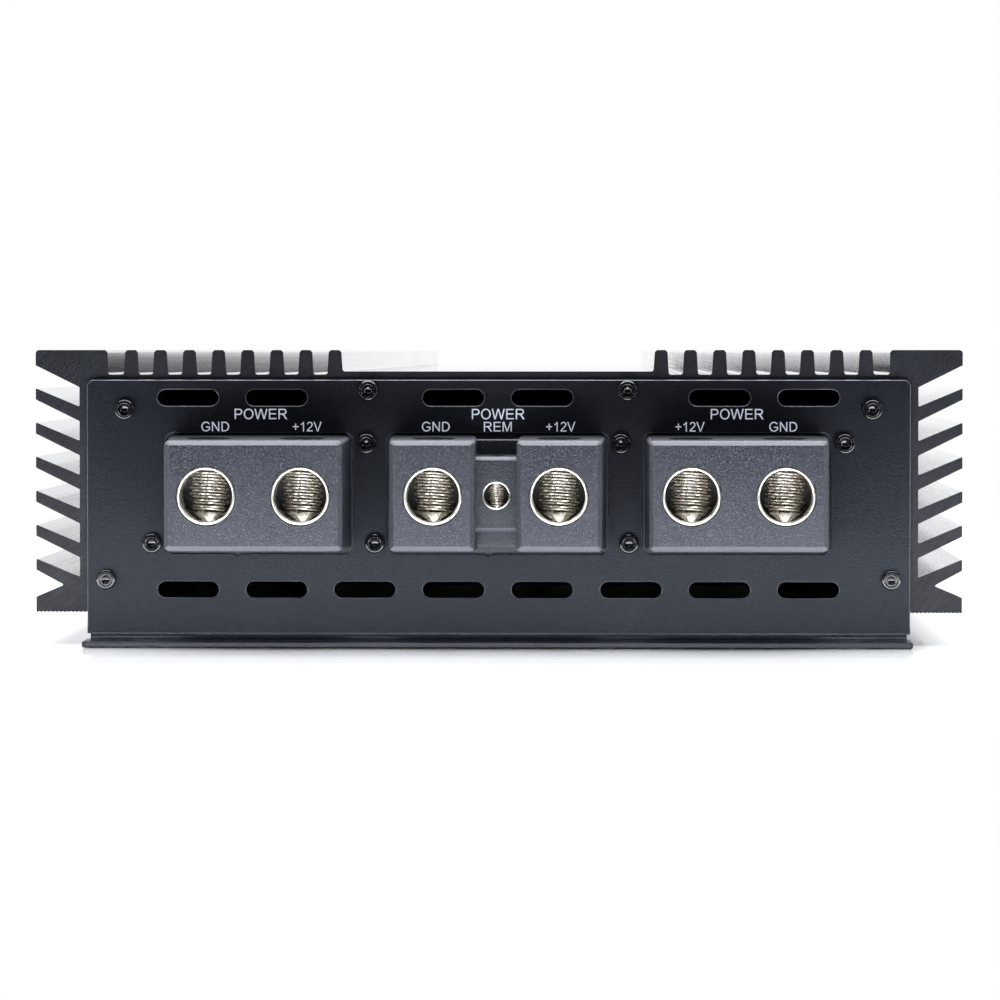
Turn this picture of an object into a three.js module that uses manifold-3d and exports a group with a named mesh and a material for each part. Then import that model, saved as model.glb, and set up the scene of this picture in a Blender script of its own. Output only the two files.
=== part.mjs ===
// Car amplifier: a finned aluminium extrusion closed by two bent steel end panels.
// Millimetres, +Z up. X is the width, Y the length; the power end faces -Y.
// Origin: centre of the footprint, on the plane the end panels' feet stand on.
import * as THREE from "three";
import { mergeVertices } from "three/addons/utils/BufferGeometryUtils.js";
import Module from "manifold-3d";

const wasm = await Module();
wasm.setup();

// ---------------------------------------------------------------- dimensions
// heatsink extrusion
const BODY_LENGTH = 600;
const END_Y = BODY_LENGTH / 2;
const HALF_WIDTH = 116;
const WALL_OUT = 105;
const WALL_IN = 100;
const TOP_Z = 73.75;
const RECESS_Z = 68.4;
const GAP_Z = 67.6;
const PLATE_UNDER_Z = 64.1;
const FOOT_Z = 7.9;
const TOP_FINS = 8;
const TOP_FIN_FIRST = 40.8;
const TOP_FIN_PITCH = 7.3;
const TOP_FIN_HALF_TIP = 1.6;
const TOP_FIN_HALF_ROOT = 1.9;
const SIDE_FINS = 6;
const SIDE_FIN_PITCH = 8.55;
const CORNER_BLOCK_X = 97.8;
const SERRATION = { pitch: 1.0, depth: 0.3, count: 13 };
const PORTS = [
  [93.4, 58.85],
  [32.4, 63.6],
  [98.2, 16.25],
];
const PORT_R = 1.5;
const BOARD_SLOT = { low: 23.2, high: 25.4, x: 102 };

// end panels
const SHEET = 1.5;
const PANEL_HALF = 103;
const PANEL_TOP = 66.3;
const PANEL_CORNER_R = 1.75;
const FLANGE_OUT = 13;
const BEND_R = 1.2;
const SCREW_HOLE_R = 1.7;
const SLOT = { length: 15.3, width: 4 };
const SLOT_X = [11.1, 33.3, 55.4, 77.6];
const SLOT_LOW_Z = 13.75;
const SLOT_HIGH_Z = 61.8;
const FOOT_SLOT = { x: 88, y: 8.2, length: 9, width: 5 };

// screws
const HEAD_R = 2.5;
const HEAD_H = 1.9;
const SHANK_R = 1.38;
const HEX_AF = 2.4;

// power terminals
const BLOCK_OUT = 21;
const BLOCK_Z = 37.85;
const BLOCK_X = 59.7;
const BLOCK_DRAFT = 0.95;
const BLOCK_CHAMFER = 1.2;
const SIDE_BLOCK = { half: 22.0, bore: 11.6 };
const CENTRE_BLOCK = { inner: 5.1, outer: 26.2, bore: 15.5 };
const BLOCK_HALF_H = 13.65;
const BORE_R = 6.55;
const BORE_MOUTH_R = 7.25;
const BORE_DEPTH = 9.5;
const TAP_R = 5.0;
const SET_SCREW = { r: 4.95, length: 6.8, bottom: 44.75 };
const REMOTE = { out: 15, halfH: 9.3, r: 3.15, mouth: 3.5, tap: 2.0, axis: 5 };
const EAR_HALF = 4;

// control end
const SPEAKER = { x: -56, half: 33, pitch: 15.6, bore: 4.2, out: 21 };
const KNOBS = [
  ["level_knob", 46],
  ["low_pass_knob", 58],
  ["subsonic_knob", 70],
  ["bass_boost_knob", 82],
];
const KNOB_Z = 47.5;
const KNOB_R = 4;
const KNOB_OUT = 8;
const POT_SHAFT_R = 3.0;
const JACKS_X = [6, 22];
const JACKS_Z = [32, 47.5];
const SWITCH = { x: 50, z: 28.5, travel: 4 };
const REMOTE_PORT = { x: 68, z: 27.5 };
const LEDS = [
  ["power_led_lens", 84, 30.5],
  ["protect_led_lens", 90, 30.5],
];

// board and what stands on it
const BOARD_Z = 23.5;
const BOARD_T = 1.6;
const BOARD_TOP = BOARD_Z + BOARD_T;

// ---------------------------------------------------------------- materials
const look = (color, roughness, metalness) =>
  new THREE.MeshStandardMaterial({ color, roughness, metalness });
const M = {
  anodised: look(0x23262e, 0.42, 0.7),
  powder: look(0x2a2c33, 0.62, 0.15),
  screw: look(0x0d0e11, 0.22, 0.8),
  housing: look(0x5a5c64, 0.6, 0.0),
  nickel: look(0xd8cfbd, 0.2, 1.0),
  steel: look(0x8d9096, 0.35, 0.9),
  board: look(0x12351f, 0.5, 0.1),
  copper: look(0xb0683a, 0.35, 0.8),
  can: look(0x16181c, 0.4, 0.1),
  black: look(0x151518, 0.5, 0.0),
  red: look(0xc03028, 0.3, 0.0),
  blue: look(0x4a86e0, 0.25, 0.0),
  zinc: look(0x6f7276, 0.45, 0.7),
};

// ---------------------------------------------------------------- geometry helpers
// A geometry as a solid that can be joined and cut.
function solidOf(geometry) {
  let g = geometry.clone();
  for (const name of Object.keys(g.attributes))
    if (name !== "position") g.deleteAttribute(name);
  g = mergeVertices(g, 1e-4);
  return new wasm.Manifold(
    new wasm.Mesh({
      numProp: 3,
      vertProperties: g.attributes.position.array,
      triVerts: new Uint32Array(g.index.array),
    }),
  );
}
// A solid back as a geometry.
function geometryOf(solid) {
  const m = solid.getMesh();
  const n = m.numProp;
  const v = new Float32Array(m.numVert * 3);
  for (let i = 0; i < m.numVert; i++)
    v.set(m.vertProperties.subarray(i * n, i * n + 3), i * 3);
  const g = new THREE.BufferGeometry();
  g.setAttribute("position", new THREE.BufferAttribute(v, 3));
  g.setIndex(new THREE.BufferAttribute(m.triVerts, 1));
  g.computeVertexNormals();
  return g;
}
const cut = (geometry, ...tools) =>
  geometryOf(
    tools.reduce((s, t) => s.subtract(solidOf(t)), solidOf(geometry)),
  );
const join = (...parts) =>
  geometryOf(
    parts.slice(1).reduce((s, t) => s.add(solidOf(t)), solidOf(parts[0])),
  );

const poly = (points) =>
  new THREE.Shape(points.map(([x, y]) => new THREE.Vector2(x, y)));
const circle = (cx, cy, r, n = 12, phase = 0) =>
  Array.from({ length: n }, (_, i) => {
    const a = phase + (2 * Math.PI * i) / n;
    return [cx + r * Math.cos(a), cy + r * Math.sin(a)];
  });
// A rounded rectangle, counter-clockwise, with seg + 1 points at each corner.
function roundRect(cx, cy, hw, hh, r, seg = 3) {
  const p = [];
  [
    [1, -1, -Math.PI / 2],
    [1, 1, 0],
    [-1, 1, Math.PI / 2],
    [-1, -1, Math.PI],
  ].forEach(([sx, sy, start]) => {
    for (let i = 0; i <= seg; i++) {
      const a = start + (Math.PI / 2) * (i / seg);
      p.push([
        cx + sx * (hw - r) + r * Math.cos(a),
        cy + sy * (hh - r) + r * Math.sin(a),
      ]);
    }
  });
  return p;
}
// An obround slot, long side along x.
function obround(cx, cy, length, width, seg = 4) {
  const r = width / 2;
  const p = [];
  for (let i = 0; i <= seg; i++) {
    const a = -Math.PI / 2 + (Math.PI * i) / seg;
    p.push([cx + length / 2 - r + r * Math.cos(a), cy + r * Math.sin(a)]);
  }
  for (let i = 0; i <= seg; i++) {
    const a = Math.PI / 2 + (Math.PI * i) / seg;
    p.push([cx - length / 2 + r + r * Math.cos(a), cy + r * Math.sin(a)]);
  }
  return p;
}
// A profile in X and Z, extruded from y0 to y1.
function alongY(points, y0, y1, holes = []) {
  const shape = poly(points);
  shape.holes = holes.map((h) => poly(h));
  const g = new THREE.ExtrudeGeometry(shape, {
    depth: y1 - y0,
    bevelEnabled: false,
    steps: 1,
  });
  g.rotateX(Math.PI / 2);
  g.translate(0, y1, 0);
  return g;
}
// A profile in X and Y, extruded from z0 to z1.
function alongZ(points, z0, z1, holes = []) {
  const shape = poly(points);
  shape.holes = holes.map((h) => poly(h));
  const g = new THREE.ExtrudeGeometry(shape, {
    depth: z1 - z0,
    bevelEnabled: false,
    steps: 1,
  });
  g.translate(0, 0, z0);
  return g;
}
// A profile in Y and Z, extruded from x0 to x1.
function alongX(points, x0, x1) {
  const g = new THREE.ExtrudeGeometry(poly(points), {
    depth: x1 - x0,
    bevelEnabled: false,
    steps: 1,
  });
  // local x, y, z become Y, Z, X
  g.applyMatrix4(
    new THREE.Matrix4().set(0, 0, 1, x0, 1, 0, 0, 0, 0, 1, 0, 0, 0, 0, 0, 1),
  );
  return g;
}
const box = (x0, x1, y0, y1, z0, z1) => {
  const g = new THREE.BoxGeometry(x1 - x0, y1 - y0, z1 - z0);
  g.translate((x0 + x1) / 2, (y0 + y1) / 2, (z0 + z1) / 2);
  return g;
};
// A stack of rounded sections along Y, each [y, cx, cz, halfWidth, halfHeight, cornerRadius].
function loftY(sections, seg = 3) {
  const loops = sections.map(([y, cx, cz, hw, hh, r]) => ({
    y,
    p: roundRect(cx, cz, hw, hh, r, seg),
  }));
  const n = loops[0].p.length;
  const pos = [];
  const idx = [];
  for (const { y, p } of loops) for (const [x, z] of p) pos.push(x, y, z);
  for (let k = 0; k < loops.length - 1; k++)
    for (let i = 0; i < n; i++) {
      const a = k * n + i;
      const b = k * n + ((i + 1) % n);
      idx.push(a, b + n, b, a, a + n, b + n);
    }
  const last = (loops.length - 1) * n;
  for (let i = 1; i < n - 1; i++) {
    idx.push(0, i, i + 1);
    idx.push(last, last + i + 1, last + i);
  }
  const g = new THREE.BufferGeometry();
  g.setAttribute(
    "position",
    new THREE.BufferAttribute(new Float32Array(pos), 3),
  );
  g.setIndex(idx);
  g.computeVertexNormals();
  return g;
}
// A turned solid from [radius, height] pairs, about an axis along +Y or -Y, or along Z.
function turned(profile, axis, at, n = 24) {
  const g = new THREE.LatheGeometry(
    profile.map(([r, h]) => new THREE.Vector2(r, h)),
    n,
  );
  if (axis === "-y") g.rotateX(Math.PI);
  if (axis === "z") g.rotateX(Math.PI / 2);
  g.translate(...at);
  return g;
}

const amplifier = new THREE.Group();
function add(name, geometry, material, parent = amplifier) {
  const mesh = new THREE.Mesh(geometry, material);
  mesh.name = name;
  parent.add(mesh);
  return mesh;
}

// ---------------------------------------------------------------- heatsink
function heatsinkHalf() {
  const p = [];
  for (let k = 0; k < TOP_FINS; k++) {
    const c = TOP_FIN_FIRST + TOP_FIN_PITCH * k;
    const zl = k === 0 ? RECESS_Z : GAP_Z;
    const b = TOP_FIN_HALF_ROOT;
    const t = TOP_FIN_HALF_TIP;
    p.push([c - b - 0.4, zl], [c - b, zl + 0.4]);
    p.push([c - t, TOP_Z - 0.55], [c - t + 0.55, TOP_Z]);
    p.push([c + t - 0.55, TOP_Z], [c + t, TOP_Z - 0.55]);
    p.push([c + b, GAP_Z + 0.4], [c + b + 0.4, GAP_Z]);
  }
  p.push([CORNER_BLOCK_X - 0.4, GAP_Z], [CORNER_BLOCK_X, GAP_Z + 0.4]);
  p.push([CORNER_BLOCK_X + 0.1, TOP_Z - 0.6], [CORNER_BLOCK_X + 0.7, TOP_Z]);
  p.push([HALF_WIDTH - 0.8, TOP_Z], [HALF_WIDTH - 0.22, TOP_Z - 0.22]);
  p.push([HALF_WIDTH, TOP_Z - 0.8], [HALF_WIDTH, 70.2], [HALF_WIDTH - 0.5, 69.65]);
  p.push([WALL_OUT + 0.8, 64.85], [WALL_OUT + 0.15, 64.4], [WALL_OUT, 63.8]);
  for (let k = 0; k < SIDE_FINS; k++) {
    const d = SIDE_FIN_PITCH * k;
    p.push([WALL_OUT, 60.15 - d], [WALL_OUT + 0.6, 59.8 - d]);
    p.push([HALF_WIDTH - 0.6, 63.93 - d], [HALF_WIDTH, 63.6 - d], [HALF_WIDTH, 61.75 - d]);
    if (k < SIDE_FINS - 1) {
      p.push([HALF_WIDTH - 0.5, 61.08 - d], [WALL_OUT + 0.6, 56.21 - d]);
      p.push([WALL_OUT, 55.3 - d]);
    } else {
      p.push([HALF_WIDTH - 0.5, 61.1 - d], [109.5, 15.1], [109.2, 14.87], [109.5, 14.6]);
    }
  }
  p.push([HALF_WIDTH - 0.5, 12.05], [HALF_WIDTH, 11.6], [HALF_WIDTH, FOOT_Z + 0.2]);
  p.push([HALF_WIDTH - 0.2, FOOT_Z]);
  let x = HALF_WIDTH - 0.2;
  for (let i = 0; i < SERRATION.count; i++) {
    p.push([x - SERRATION.pitch / 2, FOOT_Z + SERRATION.depth]);
    x -= SERRATION.pitch;
    p.push([x, FOOT_Z]);
  }
  // rebate for the bottom cover, foot, board slot, corner boss, ports
  p.push([100.4, FOOT_Z], [100.4, 9.75], [92.8, 9.75], [92.8, 20.5], [93.6, 21.3]);
  p.push([WALL_IN, 21.3], [WALL_IN, BOARD_SLOT.low], [BOARD_SLOT.x, BOARD_SLOT.low]);
  p.push([BOARD_SLOT.x, BOARD_SLOT.high], [WALL_IN, BOARD_SLOT.high]);
  p.push([WALL_IN, 53.9], [99.1, 54.8], [91.2, 54.8], [89.4, 56.6], [89.4, 63.4]);
  p.push([88.7, PLATE_UNDER_Z], [36.9, PLATE_UNDER_Z]);
  p.push([36.2, 62.4], [35.1, 60.7], [33.4, 59.8], [31.4, 59.8], [29.7, 60.7]);
  p.push([28.6, 62.4], [27.9, PLATE_UNDER_Z]);
  return p;
}
const half = heatsinkHalf();
const heatsinkProfile = [
  ...half,
  ...half
    .slice()
    .reverse()
    .map(([x, z]) => [-x, z]),
];
const portHoles = PORTS.flatMap(([x, z]) => [
  circle(x, z, PORT_R, 10),
  circle(-x, z, PORT_R, 10),
]);
add(
  "heatsink",
  alongY(heatsinkProfile, -END_Y, END_Y, portHoles),
  M.anodised,
);

// bottom cover, sitting up in the rebate between the feet
{
  const plate = [
    [-100, -END_Y + 0.5],
    [100, -END_Y + 0.5],
    [100, END_Y - 0.5],
    [-100, END_Y - 0.5],
  ];
  const holes = [];
  for (const y of [-285, -95, 95, 285])
    for (const x of [-96.6, 96.6]) holes.push(circle(x, y, 1.7, 8));
  for (const y of [-200, 200])
    for (const x of [-60, -20, 20, 60])
      holes.push(obround(x, y, 22, 4, 2));
  add("bottom_cover", alongZ(plate, 8.15, 9.65, holes), M.powder);
}

// ---------------------------------------------------------------- end panels
// Both panels are folded from one sheet: an upright wall with a foot flange bent outwards.
// side is -1 for the power end and +1 for the control end.
function endPanel(side, holes) {
  const f = END_Y + SHEET;
  const ro = BEND_R + SHEET;
  const section = [
    [END_Y, PANEL_TOP],
    [f, PANEL_TOP],
  ];
  for (let i = 0; i <= 4; i++) {
    const a = Math.PI + (Math.PI / 2) * (i / 4);
    section.push([
      f + BEND_R + BEND_R * Math.cos(a),
      SHEET + BEND_R + BEND_R * Math.sin(a),
    ]);
  }
  section.push([f + FLANGE_OUT, SHEET], [f + FLANGE_OUT, 0]);
  for (let i = 4; i >= 0; i--) {
    const a = Math.PI + (Math.PI / 2) * (i / 4);
    section.push([
      END_Y + ro + ro * Math.cos(a),
      ro + ro * Math.sin(a),
    ]);
  }
  let solid = solidOf(
    alongX(
      section.map(([y, z]) => [side * y, z]),
      -PANEL_HALF,
      PANEL_HALF,
    ),
  );
  const y0 = side < 0 ? -f - 2 : END_Y - 2;
  const y1 = side < 0 ? -END_Y + 2 : f + 2;
  for (const h of holes) solid = solid.subtract(solidOf(alongY(h, y0, y1)));
  // rounded top corners
  for (const s of [-1, 1]) {
    const c = PANEL_HALF - PANEL_CORNER_R;
    const t = PANEL_TOP - PANEL_CORNER_R;
    const pts = [
      [s * (PANEL_HALF + 1), t],
      [s * (PANEL_HALF + 1), PANEL_TOP + 1],
      [s * c, PANEL_TOP + 1],
    ];
    for (let i = 0; i <= 4; i++) {
      const a = Math.PI / 2 - (Math.PI / 2) * (i / 4);
      pts.push([
        s * (c + PANEL_CORNER_R * Math.cos(a)),
        t + PANEL_CORNER_R * Math.sin(a),
      ]);
    }
    solid = solid.subtract(solidOf(alongY(pts, y0, y1)));
  }
  // open mounting slots in the foot flange, and relief notches at the ends of the bend
  for (const s of [-1, 1]) {
    const yc = side * (f + FOOT_SLOT.y);
    const slot = obround(0, 0, FOOT_SLOT.length, FOOT_SLOT.width, 4).map(
      ([a, b]) => [s * FOOT_SLOT.x + a, yc + b],
    );
    solid = solid.subtract(solidOf(alongZ(slot, -1, SHEET + 1)));
    const n0 = side * (END_Y - 1);
    const n1 = side * (f + BEND_R);
    solid = solid.subtract(
      solidOf(
        box(
          Math.min(s * (PANEL_HALF - 0.8), s * (PANEL_HALF + 1)),
          Math.max(s * (PANEL_HALF - 0.8), s * (PANEL_HALF + 1)),
          Math.min(n0, n1),
          Math.max(n0, n1),
          -1,
          SHEET + BEND_R,
        ),
      ),
    );
  }
  return geometryOf(solid);
}
const portScrews = PORTS.flatMap(([x, z]) => [
  [-x, z],
  [x, z],
]);
const blockScrews = [
  [-BLOCK_X - 26.9, 25.35],
  [-BLOCK_X + 26.9, 50.35],
  [-30.75, 25.35],
  [30.75, 50.35],
  [BLOCK_X - 26.9, 25.35],
  [BLOCK_X + 26.9, 50.35],
];
// a low row of eight vents, and a high row that leaves room for the two inner top screws
const vents = [];
for (const x of SLOT_X)
  for (const s of [-1, 1])
    vents.push(obround(s * x, SLOT_LOW_Z, SLOT.length, SLOT.width));
const LOW_VENTS = vents.length;
for (const x of [11.1, 55.4, 77.6])
  for (const s of [-1, 1])
    vents.push(obround(s * x, SLOT_HIGH_Z, SLOT.length, SLOT.width));
const rearHalf = SIDE_BLOCK.half + BLOCK_DRAFT;
const rearHalfH = BLOCK_HALF_H + BLOCK_DRAFT;
const CLEAR = 0.6;
const powerCutouts = [
  roundRect(-BLOCK_X, BLOCK_Z, rearHalf + CLEAR, rearHalfH + CLEAR, 2.2),
  roundRect(BLOCK_X, BLOCK_Z, rearHalf + CLEAR, rearHalfH + CLEAR, 2.2),
  roundRect(
    0,
    BLOCK_Z,
    CENTRE_BLOCK.outer + BLOCK_DRAFT + CLEAR,
    rearHalfH + CLEAR,
    2.2,
  ),
];
add(
  "power_end_panel",
  endPanel(-1, [
    ...vents,
    ...powerCutouts,
    ...[...portScrews, ...blockScrews].map(([x, z]) =>
      circle(x, z, SCREW_HOLE_R, 8),
    ),
  ]),
  M.powder,
);

// ---------------------------------------------------------------- screws
// A socket-head screw whose head rests on the plane y = face, pointing inwards.
function screw(x, z, side, length) {
  const face = END_Y + SHEET;
  const body = turned(
    [
      [0, -length],
      [SHANK_R, -length],
      [SHANK_R, 0.02],
      [HEAD_R, 0.02],
      [HEAD_R, HEAD_H - 0.4],
      [HEAD_R - 0.4, HEAD_H],
      [0, HEAD_H],
    ],
    "y",
    [0, 0, 0],
    10,
  );
  const hex = new THREE.CylinderGeometry(
    HEX_AF / Math.sqrt(3),
    HEX_AF / Math.sqrt(3),
    2.6,
    6,
  );
  hex.translate(0, HEAD_H, 0);
  const g = cut(body, hex);
  if (side < 0) g.rotateX(Math.PI);
  g.translate(x, side * face, z);
  return g;
}
[...portScrews, ...blockScrews].forEach(([x, z], i) => {
  const inPort = i < portScrews.length;
  add(
    "panel_screw_" + String(i + 1).padStart(2, "0"),
    screw(x, z, -1, inPort ? 9 : 4.2),
    M.screw,
  );
});

// ---------------------------------------------------------------- power terminal housings
const FACE = END_Y + SHEET; // outer face of an end panel
const FRONT = -(FACE + BLOCK_OUT); // front face of a power terminal housing
const TAP_Y = FRONT + BORE_DEPTH; // axis of the clamping screws
const rearFlange = (x0, x1, ears) => {
  let g = solidOf(
    box(x0, x1, -END_Y + 0.05, -END_Y + 3, BLOCK_Z - 16.6, BLOCK_Z + 16.6),
  );
  for (const [ex, ez, dir] of ears)
    g = g.add(
      solidOf(
        box(
          Math.min(ex - EAR_HALF, ex - dir * 10),
          Math.max(ex + EAR_HALF, ex - dir * 10),
          -END_Y + 0.05,
          -END_Y + 3,
          Math.max(ez - EAR_HALF, BLOCK_Z - 16.6),
          Math.min(ez + EAR_HALF, BLOCK_Z + 16.6),
        ),
      ),
    );
  return geometryOf(g);
};
const drafted = (cx, half, halfH, out, chamfer = BLOCK_CHAMFER) =>
  loftY([
    [-(FACE + out), cx, BLOCK_Z, half - chamfer, halfH - chamfer, 0.6],
    [-(FACE + out) + chamfer, cx, BLOCK_Z, half, halfH, 1.5],
    [
      -END_Y + 1,
      cx,
      BLOCK_Z,
      half + BLOCK_DRAFT,
      halfH + BLOCK_DRAFT,
      1.8,
    ],
  ]);
// Cavity for one terminal: the metal block's pocket, its mouth and the hole over its screw.
function terminalPocket(x) {
  return [
    box(x - 8.8, x + 8.8, FRONT + 1.6, -END_Y + 4, BLOCK_Z - 10.3, BLOCK_Z + 10.8),
    alongY(circle(x, BLOCK_Z, BORE_MOUTH_R + 0.3, 20), FRONT - 1, FRONT + 2),
    alongZ(circle(x, TAP_Y, 5.5, 14), BLOCK_Z + 10, BLOCK_Z + 16),
  ];
}
function sideHousing(sign) {
  const cx = sign * BLOCK_X;
  const ears = [
    [cx - 26.9, 25.35, -1],
    [cx + 26.9, 50.35, 1],
  ];
  const body = join(
    drafted(cx, SIDE_BLOCK.half, BLOCK_HALF_H, BLOCK_OUT),
    rearFlange(cx - 24, cx + 24, ears),
  );
  const inserts = ears.map(([x, z]) =>
    alongY(circle(x, z, PORT_R, 10), -END_Y - 1, -END_Y + 4),
  );
  return cut(
    body,
    ...terminalPocket(cx - SIDE_BLOCK.bore),
    ...terminalPocket(cx + SIDE_BLOCK.bore),
    ...inserts,
  );
}
function centreHousing() {
  const mid = (CENTRE_BLOCK.inner + CENTRE_BLOCK.outer) / 2;
  const halfW = (CENTRE_BLOCK.outer - CENTRE_BLOCK.inner) / 2;
  const ears = [
    [-30.75, 25.35, -1],
    [30.75, 50.35, 1],
  ];
  // the tall halves keep plumb inner walls, so their outer walls alone are drafted
  const tall = (s) =>
    loftY([
      [FRONT, s * mid, BLOCK_Z, halfW - BLOCK_CHAMFER * 0.7, BLOCK_HALF_H - BLOCK_CHAMFER, 0.6],
      [FRONT + BLOCK_CHAMFER, s * mid, BLOCK_Z, halfW, BLOCK_HALF_H, 1.2],
      [
        -END_Y + 1,
        s * (mid + BLOCK_DRAFT / 2),
        BLOCK_Z,
        halfW + BLOCK_DRAFT / 2,
        BLOCK_HALF_H + BLOCK_DRAFT,
        1.5,
      ],
    ]);
  const rf = -(FACE + REMOTE.out);
  const remote = loftY([
    [rf, 0, BLOCK_Z + 0.3, 5.4, REMOTE.halfH - 0.9, 0.3],
    [rf + 0.9, 0, BLOCK_Z + 0.3, 5.4, REMOTE.halfH, 0.3],
    [-END_Y + 1, 0, BLOCK_Z + 0.3, 5.4, REMOTE.halfH + 0.4, 0.3],
  ]);
  const web = box(-6, 6, -(FACE + 3), -END_Y + 1, BLOCK_Z - 13.4, BLOCK_Z + 13.7);
  const body = join(
    tall(-1),
    tall(1),
    remote,
    web,
    rearFlange(-28, 28, ears),
  );
  const inserts = ears.map(([x, z]) =>
    alongY(circle(x, z, PORT_R, 10), -END_Y - 1, -END_Y + 4),
  );
  return cut(
    body,
    ...terminalPocket(-CENTRE_BLOCK.bore),
    ...terminalPocket(CENTRE_BLOCK.bore),
    alongY(circle(0, BLOCK_Z, 4.5, 14), rf + 1.2, -END_Y + 4),
    alongY(circle(0, BLOCK_Z, REMOTE.mouth + 0.3, 14), rf - 1, rf + 2),
    alongZ(circle(0, rf + REMOTE.axis, 2.4, 10), BLOCK_Z + 3, BLOCK_Z + 12),
    ...inserts,
  );
}
add("terminal_housing_left", sideHousing(-1), M.housing);
add("terminal_housing_centre", centreHousing(), M.housing);
add("terminal_housing_right", sideHousing(1), M.housing);

// ---------------------------------------------------------------- power terminals
// A plated block with a blind wire bore from the front, a tapped hole from the top that
// ends in a drill point, and a lug at the back that drops to the board.
function terminalBlock(x) {
  const body = join(
    box(x - 8.5, x + 8.5, FRONT + 1.9, -END_Y + 1, BLOCK_Z - 10, BLOCK_Z + 10.4),
    alongY(circle(x, BLOCK_Z, BORE_MOUTH_R, 20), FRONT + 0.25, FRONT + 3),
    box(x - 6, x + 6, -END_Y, -END_Y + 16, BLOCK_Z - 1.5, BLOCK_Z + 1.5),
    box(x - 6, x + 6, -END_Y + 13, -END_Y + 16, BOARD_TOP + 0.1, BLOCK_Z + 1.5),
  );
  const mouth = turned(
    [
      [0, FRONT - 1],
      [BORE_MOUTH_R + 0.9, FRONT - 1],
      [BORE_MOUTH_R - 0.1, FRONT + 0.25],
      [BORE_R, FRONT + 0.9],
      [BORE_R, TAP_Y],
      [0, TAP_Y],
    ],
    "y",
    [x, 0, BLOCK_Z],
    20,
  );
  const tap = turned(
    [
      [0, -7],
      [TAP_R, -4],
      [TAP_R, 14],
      [0, 14],
    ],
    "z",
    [x, TAP_Y, BLOCK_Z],
    16,
  );
  return cut(body, mouth, tap);
}
function setScrew(x, y, bottom, r, length, socket, n = 16) {
  const g = turned(
    [
      [0, 0],
      [r - 0.7, 0],
      [r, 0.6],
      [r, length],
      [0, length],
    ],
    "z",
    [0, 0, 0],
    n,
  );
  const hex = alongZ(circle(0, 0, socket / Math.sqrt(3), 6), length * 0.45, length + 1);
  const s = cut(g, hex);
  s.translate(x, y, bottom);
  return s;
}
const powerTerminals = [
  ["left_gnd", -BLOCK_X - SIDE_BLOCK.bore],
  ["left_12v", -BLOCK_X + SIDE_BLOCK.bore],
  ["centre_gnd", -CENTRE_BLOCK.bore],
  ["centre_12v", CENTRE_BLOCK.bore],
  ["right_12v", BLOCK_X - SIDE_BLOCK.bore],
  ["right_gnd", BLOCK_X + SIDE_BLOCK.bore],
];
for (const [name, x] of powerTerminals) {
  add("terminal_" + name, terminalBlock(x), M.nickel);
  add(
    "set_screw_" + name,
    setScrew(x, TAP_Y, SET_SCREW.bottom, SET_SCREW.r, SET_SCREW.length, 5),
    M.steel,
  );
}
// remote turn-on terminal
{
  const rf = -(FACE + REMOTE.out);
  const ty = rf + REMOTE.axis;
  const body = join(
    alongY(circle(0, BLOCK_Z, 4.2, 14), rf + 1.5, -END_Y + 4),
    alongY(circle(0, BLOCK_Z, REMOTE.mouth, 14), rf + 0.2, rf + 3),
    box(-1.5, 1.5, -END_Y + 3, -END_Y + 10, BLOCK_Z - 1, BLOCK_Z + 1),
    box(-1.5, 1.5, -END_Y + 8, -END_Y + 10, BOARD_TOP + 0.1, BLOCK_Z + 1),
  );
  const mouth = turned(
    [
      [0, rf - 1],
      [REMOTE.mouth + 0.6, rf - 1],
      [REMOTE.mouth - 0.1, rf + 0.2],
      [REMOTE.r, rf + 0.5],
      [REMOTE.r, ty],
      [0, ty],
    ],
    "y",
    [0, 0, BLOCK_Z],
    14,
  );
  const tap = turned(
    [
      [0, -3.4],
      [REMOTE.tap, -2.2],
      [REMOTE.tap, 8],
      [0, 8],
    ],
    "z",
    [0, ty, BLOCK_Z],
    12,
  );
  add("terminal_remote", cut(body, mouth, tap), M.nickel);
  add(
    "set_screw_remote",
    setScrew(0, ty, BLOCK_Z + 3.35, 1.95, 4.6, 2, 12),
    M.steel,
  );
}

// ---------------------------------------------------------------- control end
const speakerX = [-1.5, -0.5, 0.5, 1.5].map((k) => SPEAKER.x + k * SPEAKER.pitch);
const speakerFlangeScrews = [
  [SPEAKER.x - SPEAKER.half - 5.4, 50.35],
  [SPEAKER.x + SPEAKER.half + 5.4, 25.35],
];
const controlScrews = [...portScrews, ...speakerFlangeScrews];
add(
  "control_end_panel",
  endPanel(1, [
    ...vents.slice(0, LOW_VENTS),
    roundRect(
      SPEAKER.x,
      BLOCK_Z,
      SPEAKER.half + BLOCK_DRAFT + CLEAR,
      rearHalfH + CLEAR,
      2.2,
    ),
    ...JACKS_X.flatMap((x) => JACKS_Z.map((z) => circle(x, z, 5.2, 12))),
    ...KNOBS.map(([, x]) => circle(x, KNOB_Z, 3.6, 12)),
    roundRect(SWITCH.x, SWITCH.z, 4.6, 2.0, 0.4, 2),
    roundRect(REMOTE_PORT.x, REMOTE_PORT.z, 6.4, 5.4, 0.4, 2),
    ...LEDS.map(([, x, z]) => circle(x, z, 1.75, 8)),
    ...controlScrews.map(([x, z]) => circle(x, z, SCREW_HOLE_R, 8)),
  ]),
  M.powder,
);
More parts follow.
